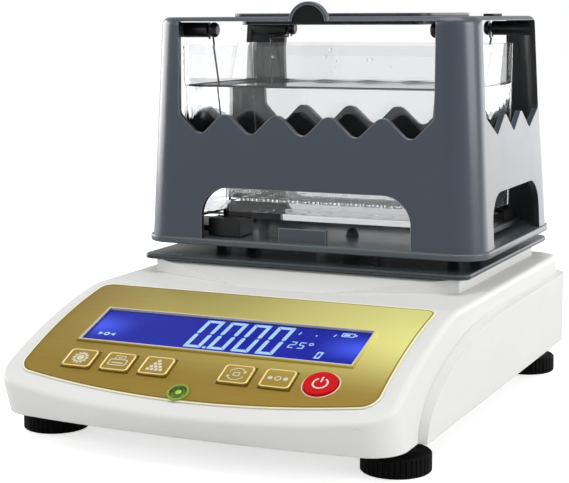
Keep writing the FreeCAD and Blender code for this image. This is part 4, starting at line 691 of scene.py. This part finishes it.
# %% Panel outline
PANEL_HALF, PANEL_BACK, PANEL_SIDE_END, PANEL_BOW = 88.4, -52.3, -124.5, 10.0
CORNER_FRONT, CORNER_BACK = 8.0, 5.5


def panel_outline(inset):
    """The panel's plan, moved inwards: the front bow is a circle through the
    ends of the two front corners."""
    half, back = PANEL_HALF - inset, PANEL_BACK - inset
    front_radius, back_radius = CORNER_FRONT - inset, CORNER_BACK - inset
    bow = math.radians(PANEL_BOW)
    cx = PANEL_HALF - CORNER_FRONT
    cy = back - back_radius
    bow_radius = (cx + CORNER_FRONT * math.sin(bow)) / math.sin(bow)
    bow_y = PANEL_SIDE_END - CORNER_FRONT * math.cos(bow) + bow_radius * math.cos(bow)
    side = np.linspace(PANEL_SIDE_END, cy, 13)
    left, right = 270 - PANEL_BOW, 270 + PANEL_BOW
    return np.concatenate([
        np.column_stack([np.full(12, half), side[:-1]]),
        arc(half - back_radius, cy, back_radius, 0, 90, 10),
        arc(-half + back_radius, cy, back_radius, 90, 180, 10),
        np.column_stack([np.full(12, -half), side[-2::-1]]),
        arc(-cx, PANEL_SIDE_END, front_radius, 180, left, 12)[1:],
        arc(0.0, bow_y, bow_radius - inset, left, right, 30)[1:-1],
        arc(cx, PANEL_SIDE_END, front_radius, right, 360, 12)[:-1]])


# The cream bead is partly a painted highlight on the panel's edge, and the dark thread is painted shade along
# it.
cream_line = plastic("cream_line", (250, 244, 214), (246, 238, 204), 0.3, 0.36, edge=0.0001)
edge_shade_line = plastic("edge_shade_line", (112, 100, 44), (100, 90, 38), 0.4, 0.5, edge=0.0001)
panel_rim = bar(panel_outline(-0.15), bead(0.9, 0.45, -0.3), on_crown, True)
panel_edge_shade = bar(panel_outline(0.75), flat(0.45, -0.05, 0.03), on_crown, True)
piece("panel_rim", [panel_rim], cream_line, "base")
piece("panel_edge_shade_line", [panel_edge_shade], edge_shade_line, "base")

# %% [markdown]
# ## Key frames and pictograms
#
# Each key is a gold cap with a raised pale line round its edge and a small picture printed in it. The line's
# pale gold is partly its own and partly a painted highlight on the embossed edge. The pictures are plain
# signs drawn for this lesson: a toothed wheel, a paper tray, a heap of grains, two arrows in a circle, and a
# ring between two dots. All of them are lines, dots and small plates.

# %% Printing on the keys
KEY_PROUD, KEY_PITCH, KEY_WIDE, KEY_TALL, KEY_CORNER = 1.6, 20.0, 14.8, 12.6, 2.0
key_plane = on_plane(KEY_FRONT)
INK_LOW, INK_HIGH = KEY_PROUD - 0.05, KEY_PROUD + 0.05
RIM_INSET, RIM_WIDTH, RIM_RISE = 0.55, 0.85, 0.3
line, ink_plate = pen(INK_LOW, INK_HIGH, key_plane)


def dots(places, radius):
    """Printed dots on the keys."""
    return [ink_plate(arc(x, y, radius, steps=12)) for x, y in places]


def polar(cx, radius, turn):
    """The point of a circle about (cx, 0) at a turn in degrees."""
    return cx + radius * math.cos(math.radians(turn)), radius * math.sin(math.radians(turn))


print("ink stands", round(INK_HIGH - KEY_PROUD, 3), "mm proud of a key")

# %% [markdown]
# Each picture is a function of its middle, so it can be printed on any key.

# %% Pictograms


def wheel(cx):
    """A hub, a rim and twelve teeth, one every thirty degrees."""
    teeth = [line([polar(cx, 3.0, turn), polar(cx, 4.1, turn)], 1.0) for turn in range(0, 360, 30)]
    return [line(arc(cx, 0.0, 2.9), 0.9, True)] + dots([(cx, 0.0)], 1.9) + teeth


def paper_tray(cx):
    """A box with a slot, and a sheet that stands out of it."""
    return [line(rounded(cx - 4.4, cx + 4.4, -2.6, 1.4, 0.8), 0.55, True),
            line([(cx - 2.4, 1.4), (cx - 2.4, 3.9), (cx + 2.4, 3.9), (cx + 2.4, 1.4)], 0.5),
            line([(cx - 2.9, -1.0), (cx + 2.9, -1.0)], 0.7), line([(cx - 1.2, 2.6), (cx + 1.2, 2.6)], 0.5)]


def heap(cx):
    """Rows of one to four grains, each row two millimetres lower."""
    grains = [(cx + (k - row / 2) * 2.2, 3.2 - row * 2.0) for row in range(4) for k in range(row + 1)]
    return dots(grains, 0.95)


def circling_arrows(cx):
    """Two arcs of 135 degrees with a head where each begins, and a box."""
    marks = [line(arc(cx, 0.0, 4.0, turn, turn + 135, 16), 0.5) for turn in (25, 205)]
    marks.append(line(rounded(cx - 1.4, cx + 1.4, -1.1, 1.1, 0.4), 0.5, True))
    for turn in (25, 205):
        head = [polar(cx, 4.0, turn - 14), polar(cx, 5.0, turn + 6), polar(cx, 3.0, turn + 6)]
        marks.append(ink_plate(head))
    return marks


def ring_between_dots(cx):
    """A small ring with a dot on each side."""
    return [line(arc(cx, 0.0, 1.3, steps=20), 0.6, True)] + dots([(cx - 3.7, 0.0), (cx + 3.7, 0.0)], 1.2)


print("shells of a wheel:", len(wheel(0.0)))

# %% [markdown]
# The keys stand at even steps from the middle, where there is none: three at
# the left, two at the right, and then the power key. Rim and sign ride on
# their own key, so that they go down with it.

# %% Key marks
KEYS = {"set": (-3, wheel), "print": (-2, paper_tray), "enter": (-1, heap),
        "mode": (1, circling_arrows), "zero": (2, ring_between_dots)}
ink_pale = plastic("ink_pale", (226, 218, 190), (216, 206, 176), 0.4, 0.5, edge=0.0001)
wide, tall = KEY_WIDE / 2 - RIM_INSET, KEY_TALL / 2 - RIM_INSET
for tag, (step, draw) in KEYS.items():
    cx = step * KEY_PITCH
    # The pale rim is partly a painted highlight on the key's embossed edge.
    rim = bar(rounded(cx - wide, cx + wide, -tall, tall, KEY_CORNER - 0.4),
              bead(RIM_WIDTH, RIM_RISE, INK_LOW), key_plane, True)
    piece("key_line_" + tag, [rim], pale_gold, "key_" + tag)
    piece("key_sign_" + tag, draw(cx), ink_pale, "key_" + tag)

# %% [markdown]
# ## The power key
#
# The power key is round, red and a little domed. It carries the usual sign,
# an open ring and a bar, in white, and a pale ring printed on the panel sets
# it off from the gold.

# %% Power key
POWER_X, POWER_RADIUS = 60.0, 7.6
key_slope = float(crown_slope(KEY_FRONT))


def round_power(x, up, out):
    """Carries a flat drawing about the row of keys onto the gold film."""
    return on_crown(x, -KEY_FRONT + up * math.cos(key_slope), out)


ink_white = plastic("ink_white", (255, 236, 236), (250, 228, 228), 0.35, 0.4, edge=0.0001)
power_sign = [line(arc(POWER_X, -0.2, 3.3, 120, 420, 40), 0.75), line([(POWER_X, 0.6), (POWER_X, 4.1)], 0.75)]
piece("power_sign", power_sign, ink_white, "key_power")
power_ring = bar(arc(POWER_X, 0.0, POWER_RADIUS + 0.85, steps=64), bead(0.75, 0.3, -0.15), round_power, True)
ring_cream = plastic("ring_cream", (255, 206, 190), (250, 196, 180), 0.3, 0.36, edge=0.0001)
piece("power_ring", [power_ring], ring_cream, "base")

# %% [markdown]
# ## The lit display
#
# Behind the window lies a blue panel that glows by itself. Two small lamps
# feed its light in from the left and the right end, so it is brightest there,
# and the bezel's shade makes a dark thread round its edge. All this is a
# pattern over the panel, so it is worked out from the place on it: how near
# the edge, how near an end. A mapping node of the texture kind turns object
# coordinates back onto the sloping plane of the display.

# %% Display backlight
LCD_FRONT, LCD_HALF_X, LCD_HALF_UP = 94.8, 68.5, 14.4
LAMP_REACH = 26.0
lcd_plane = on_plane(LCD_FRONT)


def from_display_middle(tree):
    """How far across and how far up a point lies from the display's middle."""
    lay_flat = add(tree, "Mapping", vector_type="TEXTURE", Vector=object_place(tree),
                   Location=(0.0, -LCD_FRONT * MM, float(crown_height(LCD_FRONT)) * MM),
                   Rotation=(float(crown_slope(LCD_FRONT)), 0.0, 0.0))
    place = split(lay_flat.outputs["Vector"])
    return maths("ABSOLUTE", place["X"]), maths("ABSOLUTE", place["Y"])


display_light, tree, shader = finish("display_light", Base_Color=(0.004, 0.005, 0.03, 1.0),
                                     Roughness=0.35, Specular_IOR_Level=0.1, Emission_Strength=0.95)
across, upwards = from_display_middle(tree)
to_end = maths("SUBTRACT", LCD_HALF_X * MM, across)
to_side = maths("SUBTRACT", LCD_HALF_UP * MM, upwards)
inner = maths("MINIMUM", to_end, to_side)
near_end = maths("MULTIPLY", ramp(to_end, LAMP_REACH * MM, 1.0 * MM),
                 ramp(upwards, LAMP_REACH / 2 * MM, 0.0))
cloud = use_group(tree, skin_group, Broad_Scale=22.0)["Mottle"]
calm = blend_colours(cloud, paint(20, 30, 150), paint(26, 36, 160))
lit = blend_colours(near_end, calm, paint(70, 92, 240))
glow = blend_colours(ramp(inner, 0.2 * MM, 1.5 * MM), paint(14, 12, 78), lit)
join(glow, shader.inputs["Emission Color"])
print("display:", 2 * LCD_HALF_X, "by", 2 * LCD_HALF_UP, "mm")

# %% [markdown]
# The bezel round the window is gold like the film, with a pale thread along its inner edge; its gold runs
# through the same painted sheen as the film. The same distances, outwards this time, give its pattern.

# %% Bezel
bezel_gold, tree, shader = finish("bezel_gold", Metallic=0.4, Roughness=0.42)
across, upwards = from_display_middle(tree)
past = maths("MAXIMUM", maths("SUBTRACT", across, LCD_HALF_X * MM),
             maths("SUBTRACT", upwards, LCD_HALF_UP * MM))
sheened_film = blend_colours(use_group(tree, sheen_group)["Sheen"], paint(166, 138, 52), paint(255, 246, 160))
bezel_tint = blend_colours(ramp(past, 0.5 * MM, 1.0 * MM), paint(226, 222, 208), sheened_film)
join(bezel_tint, shader.inputs["Base Color"])
print("bezel wired")

# %% [markdown]
# ## Digits
#
# A digit shows some of seven plates with mitred ends; a zero leaves out the
# middle one. The digits lean slightly, which is one more term in the formula:
# each point moves to the right by a share of its height. They sit inside the
# window, just above the glowing panel.

# %% Segments


def segment_corners(which, wide, tall, stroke):
    """Corners of one segment of a digit that stands on the point (0, 0)."""
    w, h, t, g = wide, tall, stroke, stroke * 0.09
    half = h / 2
    table = {
        "top": [(g, h), (w - g, h), (w - t - g, h - t), (t + g, h - t)],
        "low": [(g, 0), (w - g, 0), (w - t - g, t), (t + g, t)],
        "left_high": [(0, h - g), (t, h - t - g), (t, half + t / 2 + g), (t / 2, half + g),
                      (0, half + t / 2)],
        "left_low": [(0, g), (t, t + g), (t, half - t / 2 - g), (t / 2, half - g), (0, half - t / 2)],
        "middle": [(t / 2 + g, half), (t + g, half + t / 2), (w - t - g, half + t / 2), (w - t / 2 - g, half),
                   (w - t - g, half - t / 2), (t + g, half - t / 2)],
    }
    if which.startswith("right"):
        return [(w - x, y) for x, y in table[which.replace("right", "left")]]
    return table[which]


DIGITS = {"0": ("top", "low", "left_high", "left_low", "right_high", "right_low"),
          "2": ("top", "right_high", "middle", "left_low", "low"),
          "5": ("top", "left_high", "middle", "right_low", "low")}
print("digits that can be shown:", *DIGITS)

# %% [markdown]
# Four large zeros stand in a row with even steps, with a point after the
# first. The same two pens, set to the inside of the window, draw them.

# %% Display digits
BIG_X, BIG_PITCH, BIG_UP, BIG_WIDE, BIG_TALL, BIG_STROKE = -14.9, 12.1, -11.6, 8.8, 24.2, 2.0


GLASS_LOW, GLASS_HIGH = -0.36, -0.26
LEAN = 0.08
glow_line, glow_plate = pen(GLASS_LOW, GLASS_HIGH, lcd_plane)


def digit(sign, x, up, wide, tall, stroke):
    """The plates of one digit whose lower left corner is at (x, up)."""
    shells = []
    for which in DIGITS[sign]:
        corners = np.array(segment_corners(which, wide, tall, stroke), float)
        leaning = corners[:, 0] + LEAN * (corners[:, 1] - tall / 2)
        shells.append(glow_plate(np.column_stack([leaning + x, corners[:, 1] + up])))
    return shells


segment_glow, tree, shader = finish("segment_glow", Base_Color=paint(60, 80, 110), Roughness=0.4,
                                    Emission_Strength=0.85)
cloud = use_group(tree, skin_group, Broad_Scale=60.0)["Mottle"]
glow = blend_colours(cloud, paint(168, 204, 230), paint(158, 194, 224))
join(glow, shader.inputs["Emission Color"])
shells = []
for column in range(4):
    shells += digit("0", BIG_X + BIG_PITCH * column, BIG_UP, BIG_WIDE, BIG_TALL, BIG_STROKE)
shells.append(glow_plate(rounded(-6.0, -4.4, BIG_UP, -10.0, 0.4, 4)))
piece("display_digits", shells, segment_glow, "base")

# %% [markdown]
# Small signs surround the digits: the zero sign at the left, a small pair of
# digits and a unit ring at the right, and a battery at the top. They are thin
# plates and lines as well, in the same glow.

# %% Display signs
zero_sign = [glow_line(arc(-58.4, -7.2, 1.1, steps=20), 0.75, True),
             glow_plate([(-62.6, -5.9), (-62.6, -8.5), (-60.3, -7.2)]),
             glow_plate([(-54.2, -5.9), (-56.5, -7.2), (-54.2, -8.5)])]
small_digits = digit("2", 33.4, -4.2, 3.1, 5.4, 0.62) + digit("5", 38.0, -4.2, 3.1, 5.4, 0.62)
unit_ring = [glow_line(arc(43.6, 0.2, 0.9, steps=16), 0.5, True)] + digit("0", 49.0, -10.9, 2.9, 5.6, 0.9)
ticks = [glow_line([(34.4, 7.4), (34.9, 9.6)], 0.6), glow_line([(51.2, 8.4), (51.8, 10.4)], 0.6),
         glow_plate(rounded(42.6, 43.5, 7.3, 8.2, 0.2, 3))]
battery = [glow_line(rounded(54.6, 60.4, 9.3, 12.0, 0.4, 4), 0.55, True),
           glow_plate([(60.9, 10.0), (61.7, 10.0), (61.7, 11.3), (60.9, 11.3)]),
           glow_plate([(55.4, 10.0), (58.2, 10.0), (58.2, 11.3), (55.4, 11.3)])]
signs = zero_sign + small_digits + unit_ring + ticks + battery
piece("display_signs", signs, segment_glow, "base")

# %% [markdown]
# ## The bubble level
#
# A bubble level is a small cup of green liquid under a clear lens, with a
# ring for the bubble to stand in. The ring is a thin bead on the lens, and
# the bubble a flattened ball just under it: a ball's two angles give every
# point, squeezed along the deck's normal.

# %% Bubble level
LEVEL_FRONT, LEVEL_X, LEVEL_PROUD = 135.4, -1.9, 1.4
level_plane = on_plane(LEVEL_FRONT)


def squeezed_ball(cx, cy, cz, wide, deep, carry, rows=10, columns=24):
    """Centre plus radii times (cosine, sine) of longitude times the cosine of
    latitude, and the sine of latitude for the height; a pole closes each end."""
    latitude = np.linspace(-np.pi / 2, np.pi / 2, rows + 2)[1:-1, None]
    longitude = np.linspace(0.0, 2 * np.pi, columns, endpoint=False)[None, :]
    x = cx + wide * np.cos(latitude) * np.cos(longitude)
    y = cy + wide * np.cos(latitude) * np.sin(longitude)
    z = cz + deep * np.sin(latitude) + 0 * longitude
    poles = [carry(np.array([cx]), np.array([cy]), np.array([height])) for height in (cz - deep, cz + deep)]
    points = np.concatenate([carry(x, y, z).reshape(-1, 3), *poles])
    south, north = rows * columns, rows * columns + 1
    k = np.arange(columns)
    faces = grid_faces(rows, columns, False, True)
    faces += np.stack([np.full(columns, south), (k + 1) % columns, k], axis=1).tolist()
    last = (rows - 1) * columns
    faces += np.stack([np.full(columns, north), last + k, last + (k + 1) % columns], axis=1).tolist()
    return points, faces


level_mark = plastic("level_mark", (70, 104, 30), (62, 94, 24), 0.3, 0.4, edge=0.0001)
level_bubble = plastic("level_bubble", (176, 214, 92), (166, 204, 82), 0.12, 0.16, edge=0.0001)
ring_mark = bar(arc(LEVEL_X, 0.0, 2.0, steps=32), bead(0.5, 0.12, LEVEL_PROUD - 0.24), level_plane, True)
bubble = squeezed_ball(LEVEL_X + 0.1, 0.15, LEVEL_PROUD - 0.35, 1.35, 0.3, level_plane)
piece("level_ring_mark", [ring_mark], level_mark, "base")
piece("level_bubble", [bubble], level_bubble, "base")

# %% [markdown]
# ## Water
#
# Water fills nearly three quarters of the tank. It looks like water through
# its skin at the walls, which climbs them by a millimetre or so in a hollow
# curve that dies away within a few millimetres. The body of water is one
# closed surface, a rounded rectangle that shrinks to nothing at the bottom
# and at the top and follows the walls between. It reaches a tenth of a
# millimetre into the acrylic, so no film of air is left between the two.

# %% Water
TANK_X, TANK_Y, TANK_CORNER = 75.7, 43.8, 4.8
TANK_MIDDLE, TANK_FLOOR, TANK_HIGH, TANK_LEAN = 55.6, 92.6, 183.0, 0.7
WATER_LEVEL, SKIN_RISE, SKIN_REACH, INTO_WALL = 157.8, 1.4, 1.6, 0.1
NO_SIZE = 0.002        # share of a ring that has shrunk to nothing


def tank_lean(height):
    """How far the tank's walls have leaned outwards at a height."""
    return TANK_LEAN * (height - TANK_FLOOR) / (TANK_HIGH - TANK_FLOOR)


def tank_ring(height, grow, share_x=1.0, share_y=1.0):
    """The tank's inner outline at a height, grown into the wall, and drawn in
    towards the middle by a share each way."""
    out = tank_lean(height) + grow
    outline = rounded(-TANK_X - out, TANK_X + out, -TANK_Y - out, TANK_Y + out, TANK_CORNER + grow, 9)
    return np.column_stack([outline[:, 0] * share_x, outline[:, 1] * share_y + TANK_MIDDLE,
                            np.full(len(outline), height)])


def water_rings():
    """Rings from the middle of the floor, up the walls and back to the middle
    of the surface. Near the wall the surface is higher by the rise times e to
    the power of minus distance over reach."""
    bottom = TANK_FLOOR - INTO_WALL
    rings = [tank_ring(bottom, INTO_WALL, share, share) for share in (NO_SIZE, 0.5, 0.9, 0.99, 1.0)]
    rings += [tank_ring(z, INTO_WALL) for z in np.linspace(bottom + 1.0, WATER_LEVEL + SKIN_RISE, 9)]
    for inward_shade in np.concatenate([np.linspace(0.15, 6.0, 16), [12.0, 24.0, 40.0]]):
        ring = tank_ring(WATER_LEVEL, INTO_WALL, 1.0 - inward_shade / TANK_X, 1.0 - inward_shade / TANK_Y)
        ring[:, 2] = WATER_LEVEL + SKIN_RISE * math.exp(-inward_shade / SKIN_REACH)
        rings.append(ring)
    rings.append(tank_ring(WATER_LEVEL, 0.0, NO_SIZE, NO_SIZE))
    return np.stack(rings) * MM


rings = water_rings()
water_shell = (rings.reshape(-1, 3), tube_faces(rings.shape[0], rings.shape[1]))
piece("water", [water_shell], water_clear, "water_tank", crease=50.0)
print("water level:", WATER_LEVEL, "mm above the table")

# %% [markdown]
# ## Drops on the wall
#
# A few drops cling to the wall above the water. Each is a squeezed ball that
# sits halfway in the acrylic's surface, so that only its cap shows. A fixed
# seed puts them in the same places every time.

# %% Drops
random = np.random.default_rng(7)
DROPS, FLATNESS = 16, 0.45


def on_back_wall(x, up, out):
    """Carries (x, height, out) onto the inner face of the tank's rear wall."""
    return np.stack([x, TANK_MIDDLE + TANK_Y + tank_lean(up) - out, up], axis=-1) * MM


across = random.uniform(-66, 66, DROPS)
heights = random.uniform(163, 177, DROPS)
sizes = random.uniform(0.35, 1.0, DROPS)
drops = [squeezed_ball(x, up, 0.0, size, size * FLATNESS, on_back_wall, 6, 14)
         for x, up, size in zip(across, heights, sizes)]
piece("wall_drops", drops, water_clear, "water_tank")

# %% [markdown]
# ## Serial pins
#
# The serial socket at the rear holds nine pins in two rows, five over four.
# A pin is a rod with a round end: a profile turned about its axis, which is
# a circle whose radius changes along the rod.

# %% Serial pins
SERIAL_X, SOCKET_Z, WELL_Y = 48.0, 28.0, 133.4
PIN_RADIUS, PIN_LENGTH, PIN_PITCH, ROW_RISE = 0.5, 4.2, 2.77, 1.42


def pin(x, z, columns=12):
    """Circles along Y: the radius is even, then falls to a round end."""
    share = np.array([-0.4, 0.0, 0.5, 0.85, 0.94, 0.985, 1.0])
    radius = PIN_RADIUS * np.array([1.0, 1.0, 1.0, 1.0, 0.86, 0.5, 0.05])
    angle = np.linspace(0.0, 2 * np.pi, columns, endpoint=False)
    points = np.stack([x + radius[:, None] * np.cos(angle), WELL_Y + share[:, None] * PIN_LENGTH + 0 * angle,
                       z + radius[:, None] * np.sin(angle)], axis=-1).reshape(-1, 3) * MM
    return points, tube_faces(len(share), columns)


pins = [pin(SERIAL_X + (k - 2) * PIN_PITCH, SOCKET_Z + ROW_RISE) for k in range(5)]
pins += [pin(SERIAL_X + (k - 1.5) * PIN_PITCH, SOCKET_Z - ROW_RISE) for k in range(4)]
piece("serial_pins", pins, plated_steel, "base")

# %% [markdown]
# ## Boards
#
# The circuit boards are hidden inside, but they too get a finish: green
# solder resist over copper tracks. A brick pattern with thin joints stands
# for the tracks.

# %% Boards
board_green, tree, shader = finish("board_green", Roughness=0.4)
tracks = add(tree, "TexBrick", Vector=object_place(tree), Scale=90.0, Mortar_Size=0.03,
             Color1=paint(22, 92, 52), Color2=paint(18, 80, 46), Mortar=paint(40, 128, 78))
join(tracks.outputs["Color"], shader.inputs["Base Color"])
print("boards wired")

# %% [markdown]
# ## Finishes onto the parts
#
# The record names a material slot for every part. A table turns slots into
# the finishes made above, and the few parts that differ from their slot's
# usual finish are listed one by one.

# %% Assign finishes
BY_SLOT = {"white_abs": housing_white, "black_abs": black_plastic, "grey_abs": frame_grey,
           "dark_grey_abs": tray_dark, "black_rubber": foot_rubber, "gold_film": gold_film,
           "gold_key": gold_key, "power_red": power_cap, "cream_plastic": bezel_gold,
           "lcd_clear": display_window, "lcd_blue": display_light,
           "level_ring": level_cup_green, "level_green": level_liquid,
           "clear_acrylic": tank_acrylic, "basket_clear": basket_acrylic, "steel": plated_steel,
           "wire_steel": bright_wire, "aluminium": machined_aluminium, "circuit_board": board_green}
OWN_FINISH = {"upper_tray": tray_grey, "lug_insert": lug_black, "rail_pad": lug_black}
for row in frame["record"]["subparts"]:
    node = nodes[row["node"]]
    node.data.materials.clear()
    node.data.materials.append(OWN_FINISH.get(row["node"], BY_SLOT[row["material_slot"]]))

# %% [markdown]
# ## The white room
#
# The instrument stands on a white floor that runs out of sight. To the eye
# the floor and the room are plain white, and so they are through glass. Paint
# and plastic would turn milky if they mirrored all that white, so glossy rays
# meet only a quarter of it. A Light Path node tells the rays apart.

# %% Floor
MIRRORED = 0.25              # the share of the white room that glossy faces show
FLOOR_REACH = 6.0
NEAR, FAR = 0.4, 1.0         # metres from the middle, between which the floor changes
OWN_WHITE = (0.62, 1.0)      # how bright it is by itself, near and far
TAKES_LIGHT = (0.86, 0.12)   # how much light it takes, near and far
TONE_IN_MIRROR = 0.35        # how much of that a glossy face shows


def seen_white(path):
    """The share of the room's white that a ray meets, by its kind."""
    seen = maths("MAXIMUM", path.outputs["Is Camera Ray"], path.outputs["Is Transmission Ray"])
    return maths("MAXIMUM", seen, maths("MULTIPLY", path.outputs["Is Glossy Ray"], MIRRORED))


print("glossy faces mirror", MIRRORED, "of the white")

# %% [markdown]
# Near the instrument the floor keeps the shadow: three fifths of its white
# are its own, the rest comes from the lamps, and where they don't reach only
# its own part is left. Far away all of its white is its own, and it takes
# hardly any light, so that it doesn't shine into the tank from behind.

# %% Floor's white
floor_white, tree, shader = finish("floor_white", Roughness=0.7, Emission_Color=(1.0, 1.0, 1.0, 1.0))
path = add(tree, "LightPath")
distance = add(tree, "VectorMath", operation="LENGTH")
join(object_place(tree), distance.inputs[0])
white = ramp(distance.outputs["Value"], NEAR, FAR, *OWN_WHITE)
tone = ramp(distance.outputs["Value"], NEAR, FAR, *TAKES_LIGHT)
dimmer = ramp(path.outputs["Is Glossy Ray"], 0.0, 1.0, 1.0, TONE_IN_MIRROR)
tone = maths("MULTIPLY", tone, dimmer)
join(tone, shader.inputs["Base Color"])
join(maths("MULTIPLY", seen_white(path), white), shader.inputs["Emission Strength"])

floor_mesh = bpy.data.meshes.new("floor")
corners = [(FLOOR_REACH * x, FLOOR_REACH * y, 0) for x, y in ((-1, -1), (1, -1), (1, 1), (-1, 1))]
floor_mesh.from_pydata(corners, [], [(0, 1, 2, 3)])
floor_mesh.materials.append(floor_white)
floor = place_object("floor", floor_mesh)
print("floor:", 2 * FLOOR_REACH, "m wide")

# %% [markdown]
# ## Light
#
# The room itself lights the instrument a little from all sides. The lamps are
# soft rectangles: a wide one above, one at the right, a weak one in front,
# and a card at the left. Two more cards are there for their mirror images:
# one stands far behind at the right and one lies on the floor before it, and
# together they fill the reflection in the frame's slanting right wall evenly.

# %% World and lamps
AMBIENT = 0.32       # how bright the room is as a lamp
world = bpy.data.worlds.new("studio")
bpy.context.scene.world = world
world.use_nodes = True
tree = world.node_tree
tree.nodes.clear()
seen = seen_white(add(tree, "LightPath"))
strength = maths("ADD", maths("MULTIPLY", seen, 1.0 - AMBIENT), AMBIENT)
sky = add(tree, "Background", Color=(1.0, 1.0, 1.0, 1.0), Strength=strength)
add(tree, "OutputWorld", Surface=sky.outputs[0])


def lamp(name, place, aim, wide, tall, power):
    """A soft rectangular lamp that faces a point."""
    data = bpy.data.lights.new(name, "AREA")
    data.shape, data.size, data.size_y, data.energy = "RECTANGLE", wide, tall, power
    thing = place_object(name, data)
    thing.location = place
    thing.rotation_euler = (Vector(aim) - Vector(place)).to_track_quat("-Z", "Y").to_euler()


lamp("top_lamp", (0.2, -0.1, 1.5), (0.0, 0.0, 0.1), 1.2, 1.2, 12.5)
lamp("right_lamp", (1.9, 0.1, 0.6), (0.0, 0.0, 0.1), 1.2, 0.9, 17.0)
lamp("card_lamp", (0.9, 1.9, 0.25), (0.9, 0.0, 0.25), 2.0, 0.5, 6.0)
lamp("low_card", (0.7, 1.2, 0.004), (0.7, 1.2, 1.0), 1.2, 1.4, 8.0)
lamp("left_card", (-1.5, 0.3, 0.4), (0.0, 0.05, 0.13), 1.4, 0.8, 15.0)
lamp("front_lamp", (-0.7, -1.3, 0.7), (0.0, 0.0, 0.1), 0.9, 0.7, 4.0)
bpy.context.scene.view_settings.view_transform = "Standard"
